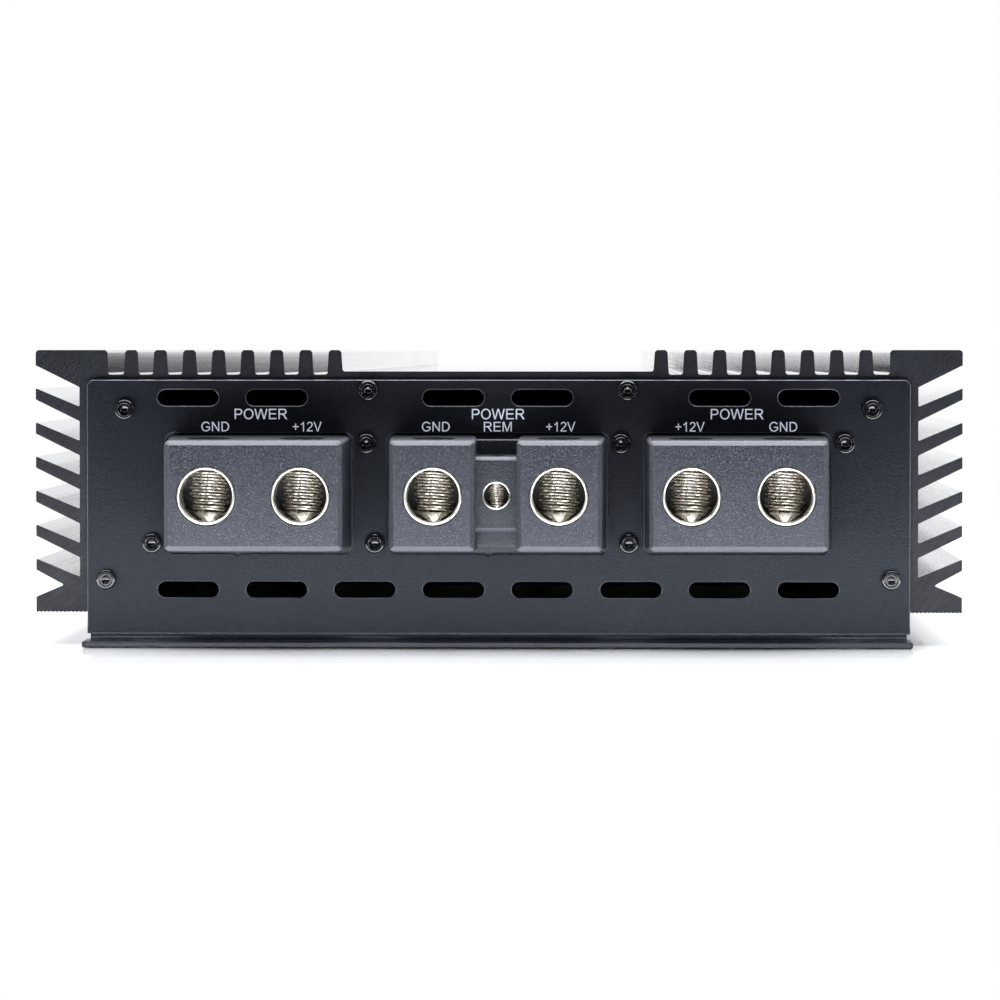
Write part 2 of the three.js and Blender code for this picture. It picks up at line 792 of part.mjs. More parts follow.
// speaker terminal housing
{
  const flangeZ = 16.6;
  const out = FACE + SPEAKER.out;
  const body = join(
    loftY([
      [END_Y - 1, SPEAKER.x, BLOCK_Z, SPEAKER.half + BLOCK_DRAFT, rearHalfH, 1.8],
      [out - BLOCK_CHAMFER, SPEAKER.x, BLOCK_Z, SPEAKER.half, BLOCK_HALF_H, 1.5],
      [
        out,
        SPEAKER.x,
        BLOCK_Z,
        SPEAKER.half - BLOCK_CHAMFER,
        BLOCK_HALF_H - BLOCK_CHAMFER,
        0.6,
      ],
    ]),
    box(
      SPEAKER.x - 35,
      SPEAKER.x + 35,
      END_Y - 3,
      END_Y - 0.05,
      BLOCK_Z - flangeZ,
      BLOCK_Z + flangeZ,
    ),
    box(
      SPEAKER.x - SPEAKER.half - 9.2,
      SPEAKER.x - 30,
      END_Y - 3,
      END_Y - 0.05,
      46.4,
      BLOCK_Z + flangeZ,
    ),
    box(
      SPEAKER.x + 30,
      SPEAKER.x + SPEAKER.half + 9.2,
      END_Y - 3,
      END_Y - 0.05,
      BLOCK_Z - flangeZ,
      29.4,
    ),
  );
  const tools = speakerX.flatMap((x) => [
    box(x - 6.6, x + 6.6, END_Y - 4, out - 1.6, BLOCK_Z - 8.3, BLOCK_Z + 8.8),
    alongY(circle(x, BLOCK_Z, SPEAKER.bore + 0.8, 14), out - 2, out + 1),
    alongZ(circle(x, out - 8, 3.5, 10), BLOCK_Z + 8, BLOCK_Z + 16),
  ]);
  add(
    "speaker_terminal_housing",
    cut(
      body,
      ...tools,
      ...speakerFlangeScrews.map(([x, z]) =>
        alongY(circle(x, z, PORT_R, 10), END_Y - 4, END_Y + 1),
      ),
    ),
    M.housing,
  );
  speakerX.forEach((x, i) => {
    const ty = out - 8;
    const block = join(
      box(x - 6.3, x + 6.3, END_Y - 1, out - 1.9, BLOCK_Z - 8, BLOCK_Z + 8.4),
      alongY(circle(x, BLOCK_Z, SPEAKER.bore + 0.5, 14), out - 3, out - 0.25),
      box(x - 3, x + 3, END_Y - 12, END_Y, BLOCK_Z - 1, BLOCK_Z + 1),
      box(x - 3, x + 3, END_Y - 12, END_Y - 10, BOARD_TOP + 0.1, BLOCK_Z + 1),
    );
    const mouth = turned(
      [
        [0, ty],
        [SPEAKER.bore, ty],
        [SPEAKER.bore, out - 0.7],
        [SPEAKER.bore + 0.4, out - 0.25],
        [SPEAKER.bore + 1.0, out + 1],
        [0, out + 1],
      ],
      "y",
      [x, 0, BLOCK_Z],
      14,
    );
    const tap = turned(
      [
        [0, -4.8],
        [3.0, -3.0],
        [3.0, 12],
        [0, 12],
      ],
      "z",
      [x, ty, BLOCK_Z],
      12,
    );
    add("speaker_terminal_" + (i + 1), cut(block, mouth, tap), M.nickel);
    add(
      "speaker_set_screw_" + (i + 1),
      setScrew(x, ty, BLOCK_Z + SPEAKER.bore + 0.35, 2.95, 6.2, 3, 12),
      M.steel,
    );
  });
}
// signal jack block: four jack barrels on one moulded body behind the panel
{
  const parts = [box(-3, 31, END_Y - 22, END_Y - 0.1, 27, 53.5)];
  for (const x of JACKS_X)
    for (const z of JACKS_Z)
      parts.push(alongY(circle(x, z, 4.5, 12), END_Y - 2, FACE + 9));
  const bores = [];
  for (const x of JACKS_X)
    for (const z of JACKS_Z)
      bores.push(alongY(circle(x, z, 1.65, 8), END_Y - 6, FACE + 10));
  // feet down to the board
  for (const x of [0.5, 27.5])
    parts.push(box(x - 2, x + 2, END_Y - 20, END_Y - 6, BOARD_TOP + 0.1, 28));
  add("rca_jack_block", cut(join(...parts), ...bores), M.black);
}
// control board, upright behind the panel, with the four potentiometer bodies, the switch
// body and the port's seat on it
{
  const y1 = END_Y - 9;
  const parts = [
    box(40, 88.5, y1 - 1.6, y1, BOARD_TOP + 0.1, 54.2),
    ...KNOBS.map(([, x]) => box(x - 5, x + 5, y1 - 0.5, y1 + 6.5, KNOB_Z - 6, KNOB_Z + 5)),
    box(SWITCH.x - 6, SWITCH.x + 6, y1 - 0.5, y1 + 6.5, SWITCH.z - 3, SWITCH.z + 3),
  ];
  const tools = [
    ...KNOBS.map(([, x]) =>
      alongY(circle(x, KNOB_Z, POT_SHAFT_R + 0.06, 20), y1 + 0.8, y1 + 8),
    ),
    box(SWITCH.x - 4.6, SWITCH.x + 4.6, y1 + 2.2, y1 + 8, SWITCH.z - 1.7, SWITCH.z + 1.7),
  ];
  add("control_board", cut(join(...parts), ...tools), M.board);
}
for (const [name, x] of KNOBS) {
  const y1 = END_Y - 9;
  const knob = turned(
    [
      [0, y1 + 1.2],
      [POT_SHAFT_R, y1 + 1.2],
      [POT_SHAFT_R, FACE + 0.8],
      [KNOB_R, FACE + 0.8],
      [KNOB_R, FACE + KNOB_OUT - 0.6],
      [KNOB_R - 0.5, FACE + KNOB_OUT],
      [0, FACE + KNOB_OUT],
    ],
    "y",
    [0, 0, 0],
    20,
  );
  const pointer = box(-0.5, 0.5, FACE + KNOB_OUT - 0.8, FACE + KNOB_OUT + 1, 0.6, KNOB_R + 1);
  const g = cut(knob, pointer);
  g.translate(x, 0, KNOB_Z);
  add(name, g, M.black);
}
{
  const y1 = END_Y - 9;
  const lx = SWITCH.x - SWITCH.travel / 2; // the lever rests at one end of its travel
  add(
    "mode_switch_lever",
    join(
      box(lx - 2.4, lx + 2.4, y1 + 2.6, y1 + 5.8, SWITCH.z - 1.4, SWITCH.z + 1.4),
      box(lx - 1.4, lx + 1.4, y1 + 5, FACE + 2.2, SWITCH.z - 1.3, SWITCH.z + 1.3),
    ),
    M.black,
  );
  add(
    "remote_port_jack",
    cut(
      box(
        REMOTE_PORT.x - 6.1,
        REMOTE_PORT.x + 6.1,
        END_Y - 8.8,
        FACE + 0.3,
        REMOTE_PORT.z - 5.1 + 3.2,
        REMOTE_PORT.z + 5.1,
      ),
      box(
        REMOTE_PORT.x - 4.8,
        REMOTE_PORT.x + 4.8,
        END_Y - 6,
        FACE + 1,
        REMOTE_PORT.z - 0.6,
        REMOTE_PORT.z + 4,
      ),
    ),
    M.black,
  );
}
for (const [name, x, z] of LEDS) {
  add(
    name,
    turned(
      [
        [0, END_Y - 6],
        [1.9, END_Y - 6],
        [1.9, END_Y - 0.2],
        [1.5, END_Y - 0.2],
        [1.5, FACE + 0.4],
        [0.9, FACE + 1.3],
        [0, FACE + 1.5],
      ],
      "y",
      [x, 0, z],
      8,
    ),
    name.startsWith("power") ? M.blue : M.red,
  );
}

// ---------------------------------------------------------------- inside
add(
  "main_circuit_board",
  box(-101.7, 101.7, -END_Y + 3.6, END_Y - 3.6, BOARD_Z, BOARD_TOP),
  M.board,
);
// wound power transformers, standing in pairs behind the power panel
function toroid(cx, cy, z0, ro, ri, h, n) {
  const b = 3;
  return turned(
    [
      [ri, b],
      [ri + b, 0],
      [ro - b, 0],
      [ro, b],
      [ro, h - b],
      [ro - b, h],
      [ri + b, h],
      [ri, h - b],
      [ri, b],
    ],
    "z",
    [cx, cy, z0],
    n,
  );
}
[
  ["power_transformer_left", -62],
  ["power_transformer_right", 62],
].forEach(([name, x]) =>
  add(name, toroid(x, -236, BOARD_TOP + 0.3, 29, 11, 28, 16), M.copper),
);
add(
  "output_inductor",
  toroid(-56, 205, BOARD_TOP + 0.3, 30, 12, 28, 16),
  M.copper,
);
// reservoir capacitors
const can = (x, y, r, h) =>
  turned(
    [
      [0, 0],
      [r, 0],
      [r, 2.2],
      [r - 0.7, 3],
      [r, 3.8],
      [r, h - 0.8],
      [r - 0.8, h],
      [0, h],
    ],
    "z",
    [x, y, BOARD_TOP + 0.3],
    12,
  );
add("reservoir_capacitor_left", can(-15, -250, 12.5, 34), M.can);
add("reservoir_capacitor_right", can(15, -250, 12.5, 34), M.can);
// transistor clamp bars on the side walls
for (const [name, s] of [
  ["transistor_clamp_left", -1],
  ["transistor_clamp_right", 1],
]) {
  const x0 = s < 0 ? -99.7 : 92.7;
  add(
    name,
    join(
      box(x0, x0 + 7, -190, 190, 36, 40),
      box(s < 0 ? x0 + 4 : x0, s < 0 ? x0 + 7 : x0 + 3, -190, 190, 32, 44),
    ),
    M.zinc,
  );
}

export default amplifier;
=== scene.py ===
import math

import bmesh
import bpy
import numpy as np
from mathutils import Matrix, Vector


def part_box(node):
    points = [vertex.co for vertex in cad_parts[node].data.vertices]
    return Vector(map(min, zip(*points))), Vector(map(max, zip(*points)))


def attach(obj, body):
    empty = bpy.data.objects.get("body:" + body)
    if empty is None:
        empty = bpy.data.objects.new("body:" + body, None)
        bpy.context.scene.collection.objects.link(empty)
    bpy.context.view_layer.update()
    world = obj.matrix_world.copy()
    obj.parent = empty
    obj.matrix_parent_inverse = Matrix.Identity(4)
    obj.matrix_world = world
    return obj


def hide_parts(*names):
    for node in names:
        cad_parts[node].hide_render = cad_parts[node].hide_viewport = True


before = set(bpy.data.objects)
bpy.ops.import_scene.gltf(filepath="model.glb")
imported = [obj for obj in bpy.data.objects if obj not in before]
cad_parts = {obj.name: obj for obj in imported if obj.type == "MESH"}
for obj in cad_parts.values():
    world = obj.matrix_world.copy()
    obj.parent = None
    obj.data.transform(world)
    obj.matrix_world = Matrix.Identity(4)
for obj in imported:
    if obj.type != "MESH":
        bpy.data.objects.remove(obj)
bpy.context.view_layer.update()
MM = 0.001
scene = bpy.context.scene
RNG = np.random.default_rng(7)

# ---------------------------------------------------------------- sizes shared with the frame
END_Y = 300.0
SHEET = 1.5
FACE = END_Y + SHEET
FRONT = -(FACE + 21.0)
TAP_Y = FRONT + 9.5
REM_FRONT = -(FACE + 15.0)
REM_TAP_Y = REM_FRONT + 5.0
BLOCK_Z = 37.85
BOARD_TOP = 25.1
# pitches divide each screw's travel, so thread and hole agree at both ends of it
PITCH = 10.5 / 7
REM_PITCH = 5.3 / 8
SP_PITCH = 7.2 / 7


def box_mm(node):
    lo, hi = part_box(node)
    return np.array(lo) * 1000.0, np.array(hi) * 1000.0


def centre_mm(node):
    lo, hi = box_mm(node)
    return (lo + hi) / 2


# ---------------------------------------------------------------- mesh helpers
def tidy(bm, merge=2e-6):
    bmesh.ops.remove_doubles(bm, verts=bm.verts, dist=merge)
    bmesh.ops.dissolve_degenerate(bm, edges=bm.edges, dist=1e-7)
    loose = [v for v in bm.verts if not v.link_faces]
    if loose:
        bmesh.ops.delete(bm, geom=loose, context="VERTS")
    bmesh.ops.recalc_face_normals(bm, faces=bm.faces)


def mesh_of(name, verts, faces, smooth=32.0):
    me = bpy.data.meshes.new(name)
    me.from_pydata([tuple(float(c) * MM for c in v) for v in verts], [], faces)
    bm = bmesh.new()
    bm.from_mesh(me)
    tidy(bm)
    bm.to_mesh(me)
    bm.free()
    shade(me, smooth)
    return me


def shade(me, angle=32.0):
    me.shade_smooth()
    me.set_sharp_from_angle(angle=math.radians(angle))
    return me


def place(name, me, mat, body="chassis", stands_for=(), at=None):
    ob = bpy.data.objects.new(name, me)
    scene.collection.objects.link(ob)
    if at is not None:
        ob.location = Vector(at) * MM
    if mat is not None and not me.materials:
        me.materials.append(mat)
    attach(ob, body)
    if stands_for:
        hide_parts(*stands_for)
    return ob


def even(ob):
    """Wide flat faces keep their own normal beside small rounded edges."""
    mod = ob.modifiers.new("even", "WEIGHTED_NORMAL")
    mod.mode = "FACE_AREA"
    mod.weight = 90
    mod.keep_sharp = True
    return ob


def poly_curve(loops, half, bevel, res):
    cu = bpy.data.curves.new("tmp_curve", "CURVE")
    cu.dimensions = "2D"
    cu.fill_mode = "BOTH"
    cu.extrude = max(half - bevel, 0.0)
    cu.bevel_depth = bevel
    cu.bevel_resolution = res
    cu.offset = -bevel
    for loop in loops:
        sp = cu.splines.new("POLY")
        sp.points.add(len(loop) - 1)
        for p, (a, b) in zip(sp.points, loop):
            p.co = (float(a), float(b), 0.0, 1.0)
        sp.use_cyclic_u = True
    ob = bpy.data.objects.new("tmp_curve", cu)
    scene.collection.objects.link(ob)
    dg = bpy.context.evaluated_depsgraph_get()
    dg.update()
    me = bpy.data.meshes.new_from_object(ob.evaluated_get(dg))
    bpy.data.objects.remove(ob)
    bpy.data.curves.remove(cu)
    return me


def plate(name, outline, holes, d0, d1, plane="XZ", bevel=0.15, res=2, smooth=32.0, at=(0, 0)):
    """A flat profile given depth d0..d1, edges rounded. XZ profiles run along Y, XY profiles along Z."""
    loops = [[(a + at[0], b + at[1]) for a, b in lp] for lp in [outline] + list(holes)]
    me = poly_curve(loops, (d1 - d0) / 2, bevel, res)
    mid = (d0 + d1) / 2
    if plane == "XZ":
        m = Matrix(((1, 0, 0, 0), (0, 0, 1, mid), (0, 1, 0, 0), (0, 0, 0, 1)))
    elif plane == "YZ":
        m = Matrix(((0, 0, 1, mid), (1, 0, 0, 0), (0, 1, 0, 0), (0, 0, 0, 1)))
    else:
        m = Matrix.Translation((0, 0, mid))
    me.transform(Matrix.Scale(MM, 4) @ m)
    bm = bmesh.new()
    bm.from_mesh(me)
    tidy(bm, 1e-6)
    bm.to_mesh(me)
    bm.free()
    me.name = name
    me.materials.clear()
    shade(me, smooth)
    return me


def circle(cx, cy, r, n=40, phase=0.0):
    return [
        (cx + r * math.cos(phase + 2 * math.pi * i / n), cy + r * math.sin(phase + 2 * math.pi * i / n))
        for i in range(n)
    ]


def round_rect(cx, cy, hw, hh, r, seg=8):
    out = []
    for sx, sy, start in ((1, -1, -90), (1, 1, 0), (-1, 1, 90), (-1, -1, 180)):
        for i in range(seg + 1):
            a = math.radians(start + 90 * i / seg)
            out.append((cx + sx * (hw - r) + r * math.cos(a), cy + sy * (hh - r) + r * math.sin(a)))
    return out


def obround(cx, cy, length, width, seg=14):
    r = width / 2
    out = []
    for s, start in ((1, -90), (-1, 90)):
        for i in range(seg + 1):
            a = math.radians(start + 180 * i / seg)
            out.append((cx + s * (length / 2 - r) + r * math.cos(a), cy + r * math.sin(a)))
    return out


def fillet(points, r=0.25, seg=3, flat=164.0):
    """Each corner of a closed profile rounded to radius r, or as much as its edges leave room for."""
    out = []
    n = len(points)
    for i in range(n):
        p = np.array(points[i], float)
        u = np.array(points[i - 1], float) - p
        v = np.array(points[(i + 1) % n], float) - p
        lu, lv = np.linalg.norm(u), np.linalg.norm(v)
        u, v = u / lu, v / lv
        ang = math.acos(max(-1.0, min(1.0, float(u @ v))))
        if ang > math.radians(flat):
            out.append(tuple(p))
            continue
        t = min(r / math.tan(ang / 2), 0.45 * lu, 0.45 * lv)
        rr = t * math.tan(ang / 2)
        bis = (u + v) / np.linalg.norm(u + v)
        c = p + bis * (rr / math.sin(ang / 2))
        a0 = math.atan2(*(p + u * t - c)[::-1])
        a1 = math.atan2(*(p + v * t - c)[::-1])
        d = (a1 - a0 + math.pi) % (2 * math.pi) - math.pi
        for k in range(seg + 1):
            a = a0 + d * k / seg
            out.append((c[0] + rr * math.cos(a), c[1] + rr * math.sin(a)))
    return out


AXES = {
    "z": lambda r, a, h: (r * math.cos(a), r * math.sin(a), h),
    "y": lambda r, a, h: (r * math.cos(a), h, r * math.sin(a)),
    "-y": lambda r, a, h: (r * math.cos(a), -h, r * math.sin(a)),
}


def lathe(name, profile, n=64, axis="z", smooth=32.0, radius=None):
    """A turned closed solid from (radius, height) pairs. radius(r, h, angle) can vary the radius round the turn."""
    to = AXES[axis]
    verts, rings, faces = [], [], []
    for r, h in profile:
        if r < 1e-9:
            verts.append(to(0, 0, h))
            rings.append([len(verts) - 1])
        else:
            ring = []
            for i in range(n):
                a = 2 * math.pi * i / n
                rr = radius(r, h, a) if radius else r
                verts.append(to(rr, a, h))
                ring.append(len(verts) - 1)
            rings.append(ring)
    for a, b in zip(rings, rings[1:] if len(rings[0]) == 1 else rings[1:] + rings[:1]):
        if len(a) == 1 and len(b) == 1:
            continue
        for i in range(n):
            j = (i + 1) % n
            if len(a) == 1:
                faces.append((a[0], b[i], b[j]))
            elif len(b) == 1:
                faces.append((a[i], a[j], b[0]))
            else:
                faces.append((a[i], a[j], b[j], b[i]))
    return mesh_of(name, verts, faces, smooth)


def loft(name, sections, seg=6, smooth=32.0, axis="y"):
    """Rounded rectangles stacked along an axis, each (along, cx, cz, half width, half height, corner radius)."""
    verts, faces = [], []
    n = 4 * (seg + 1)
    for y, cx, cz, hw, hh, r in sections:
        for x, z in round_rect(cx, cz, hw, hh, r, seg):
            verts.append((x, y, z) if axis == "y" else (x, z, y))
    for k in range(len(sections) - 1):
        for i in range(n):
            j = (i + 1) % n
            faces.append((k * n + i, k * n + j, (k + 1) * n + j, (k + 1) * n + i))
    faces.append(tuple(range(n)))
    last = (len(sections) - 1) * n
    faces.append(tuple(last + i for i in range(n)))
    return mesh_of(name, verts, faces, smooth)


def soft_box(name, x0, x1, y0, y1, z0, z1, r=0.3, seg=2):
    """A box whose edges are all rounded."""
    r = min(r, (x1 - x0) / 2.05, (y1 - y0) / 2.05, (z1 - z0) / 2.05)
    bm = bmesh.new()
    bmesh.ops.create_cube(bm, size=1.0)
    for v in bm.verts:
        v.co = Vector(
            (
                ((x0 + x1) / 2 + v.co.x * (x1 - x0)) * MM,
                ((y0 + y1) / 2 + v.co.y * (y1 - y0)) * MM,
                ((z0 + z1) / 2 + v.co.z * (z1 - z0)) * MM,
            )
        )
    if r > 0:
        bmesh.ops.bevel(bm, geom=list(bm.edges), offset=r * MM, segments=seg, profile=0.5, affect="EDGES")
    bmesh.ops.recalc_face_normals(bm, faces=bm.faces)
    me = bpy.data.meshes.new(name)
    bm.to_mesh(me)
    bm.free()
    return shade(me, 40)


def joined(name, meshes, smooth=32.0):
    """Several separate closed shells kept in one piece."""
    bm = bmesh.new()
    for me in meshes:
        bm.from_mesh(me)
    out = bpy.data.meshes.new(name)
    bm.to_mesh(out)
    bm.free()
    return shade(out, smooth)


def moved(me, dx=0.0, dy=0.0, dz=0.0):
    out = me.copy()
    out.transform(Matrix.Translation(Vector((dx, dy, dz)) * MM))
    return out


def solid(name, base, ops, smooth=32.0):
    """base joined with, or cut by, each ("UNION" or "DIFFERENCE", mesh) in turn."""
    ob = bpy.data.objects.new("tmp_solid", base)
    scene.collection.objects.link(ob)
    for op, tool in ops:
        t = bpy.data.objects.new("tmp_tool", tool)
        scene.collection.objects.link(t)
        mod = ob.modifiers.new("b", "BOOLEAN")
        mod.operation = op
        mod.solver = "EXACT"
        mod.object = t
        dg = bpy.context.evaluated_depsgraph_get()
        dg.update()
        me = bpy.data.meshes.new_from_object(ob.evaluated_get(dg))
        ob.modifiers.clear()
        ob.data = me
        bpy.data.objects.remove(t)
    me = ob.data
    bpy.data.objects.remove(ob)
    bm = bmesh.new()
    bm.from_mesh(me)
    tidy(bm, 1e-6)
    bm.to_mesh(me)
    bm.free()
    me.materials.clear()
    me.name = name
    return shade(me, smooth)


def thread_wave(t):
    """Depth of a V thread across one pitch, 0 at the root and 1 at the crest, both cut flat."""
    d = abs((t % 1.0) - 0.5) * 2.0
    return min(1.0, max(0.0, d * 1.25 - 0.12))


def thread_rod(name, r_in, r_out, pitch, z0, z1, n=48, per=8, foot=None, head=None):
    """A solid whose side is a helical V thread. foot and head are (radius, height) pairs that close the ends."""
    rows = int(round((z1 - z0) / pitch * per))
    verts, faces, rings = [], [], []

    def ring(z, fn):
        base = len(verts)
        for i in range(n):
            a = 2 * math.pi * i / n
            r = fn(a)
            verts.append((r * math.cos(a), r * math.sin(a), z))
        rings.append([base + i for i in range(n)])

    foot = foot or []
    head = head or []
    bottom = foot[0] if foot else (0.0, z0)
    verts.append((0, 0, bottom[1]))
    rings.append([0])
    for r, z in foot[1:]:
        ring(z, lambda a, r=r: r)
    for k in range(rows + 1):
        z = z0 + (z1 - z0) * k / rows
        ring(z, lambda a, z=z: r_in + (r_out - r_in) * thread_wave(z / pitch - a / (2 * math.pi)))
    for r, z in head[:-1]:
        ring(z, lambda a, r=r: r)
    top = head[-1] if head else (0.0, z1)
    verts.append((0, 0, top[1]))
    rings.append([len(verts) - 1])
    for a, b in zip(rings, rings[1:]):
        for i in range(n):
            j = (i + 1) % n
            if len(a) == 1:
                faces.append((a[0], b[j], b[i]))
            elif len(b) == 1:
                faces.append((a[i], a[j], b[0]))
            else:
                faces.append((a[i], a[j], b[j], b[i]))
    return mesh_of(name, verts, faces, 50)


def prism(name, loop, z0, z1, plane="XY"):
    """A profile given straight walls, used as a cutting tool."""
    n = len(loop)
    put = {
        "XY": lambda a, b, h: (a, b, h),
        "XZ": lambda a, b, h: (a, h, b),
        "YZ": lambda a, b, h: (h, a, b),
    }[plane]
    verts = [put(a, b, z0) for a, b in loop] + [put(a, b, z1) for a, b in loop]
    faces = [tuple(range(n)), tuple(range(n, 2 * n))]
    faces += [(i, (i + 1) % n, n + (i + 1) % n, n + i) for i in range(n)]
    return mesh_of(name, verts, faces)


def brick(x0, x1, y0, y1, z0, z1):
    return prism("brick", [(x0, y0), (x1, y0), (x1, y1), (x0, y1)], z0, z1)


def tube(name, points, r, n=8, closed=False, cap=True):
    """A round wire along a list of points."""
    pts = [np.array(p, float) for p in points]
    m = len(pts)
    verts, faces = [], []
    up = None
    for i, p in enumerate(pts):
        a = pts[(i - 1) % m] if (closed or i > 0) else p
        b = pts[(i + 1) % m] if (closed or i < m - 1) else p
        t = b - a
        t = t / np.linalg.norm(t)
        if up is None:
            up = np.array((0, 0, 1.0)) if abs(t[2]) < 0.9 else np.array((1.0, 0, 0))
        side = np.cross(t, up)
        side /= np.linalg.norm(side)
        up = np.cross(side, t)
        for k in range(n):
            w = 2 * math.pi * k / n
            verts.append(p + r * (math.cos(w) * side + math.sin(w) * up))
    for i in range(m if closed else m - 1):
        j = (i + 1) % m
        for k in range(n):
            l = (k + 1) % n
            faces.append((i * n + k, i * n + l, j * n + l, j * n + k))
    if not closed and cap:
        faces.append(tuple(range(n)))
        faces.append(tuple((m - 1) * n + k for k in range(n)))
    return mesh_of(name, verts, faces, 60)


# ---------------------------------------------------------------- material helpers
class Mat:
    """A node material with one Principled shader, built with short calls."""

    def __init__(self, name):
        self.m = bpy.data.materials.new(name)
        self.m.use_nodes = True
        self.t = self.m.node_tree
        self.t.nodes.clear()
        self.out = self.t.nodes.new("ShaderNodeOutputMaterial")
        self.p = self.t.nodes.new("ShaderNodeBsdfPrincipled")
        self.t.links.new(self.p.outputs[0], self.out.inputs[0])
        self.co = self.t.nodes.new("ShaderNodeTexCoord").outputs["Object"]

    def put(self, sock, v):
        if isinstance(v, bpy.types.NodeSocket):
            self.t.links.new(v, sock)
        else:
            if isinstance(v, (tuple, list)) and len(v) == 3 and sock.type == "RGBA":
                v = (*v, 1.0)
            sock.default_value = v

    def n(self, kind, props=None, **ins):
        node = self.t.nodes.new("ShaderNode" + kind)
        for k, v in (props or {}).items():
            setattr(node, k, v)
        for k, v in ins.items():
            sock = node.inputs[int(k[1:])] if k[0] == "i" and k[1:].isdigit() else node.inputs[k.replace("_", " ")]
            self.put(sock, v)
        return node

    def set(self, **ins):
        for k, v in ins.items():
            self.put(self.p.inputs[k.replace("_", " ")], v)
        return self

    def math(self, op, a, b=0.0, c=0.0, clamp=False):
        node = self.t.nodes.new("ShaderNodeMath")
        node.operation = op
        node.use_clamp = clamp
        self.put(node.inputs[0], a)
        self.put(node.inputs[1], b)
        if len(node.inputs) > 2:
            self.put(node.inputs[2], c)
        return node.outputs[0]

    def scaled(self, sx, sy, sz, vec=None):
        return self.n("Mapping", {"vector_type": "POINT"}, Vector=vec or self.co, Scale=(sx, sy, sz)).outputs[0]

    def noise(self, scale, detail=2.0, rough=0.5, vec=None, distort=0.0):
        return self.n(
            "TexNoise", Vector=vec or self.co, Scale=scale, Detail=detail, Roughness=rough, Distortion=distort
        ).outputs[0]

    def ramp(self, fac, a, b, lo=0.0, hi=1.0):
        """a at lo, b at hi; a and b are numbers or colours."""
        f = self.n("MapRange", Value=fac, From_Min=lo, From_Max=hi).outputs[0]
        if isinstance(a, (tuple, list)):
            return self.mix(f, a, b)
        return self.n("MapRange", Value=fac, From_Min=lo, From_Max=hi, To_Min=a, To_Max=b).outputs[0]

    def mix(self, fac, a, b):
        node = self.t.nodes.new("ShaderNodeMix")
        node.data_type = "RGBA"
        self.put(node.inputs[0], fac)
        self.put(node.inputs[6], a)
        self.put(node.inputs[7], b)
        return node.outputs[2]

    def bump(self, height, strength, distance, normal=None):
        ins = {"Height": height, "Strength": strength, "Distance": distance}
        if normal is not None:
            ins["Normal"] = normal
        return self.n("Bump", None, **ins).outputs[0]

    def sep(self, vec):
        return self.n("SeparateXYZ", Vector=vec).outputs


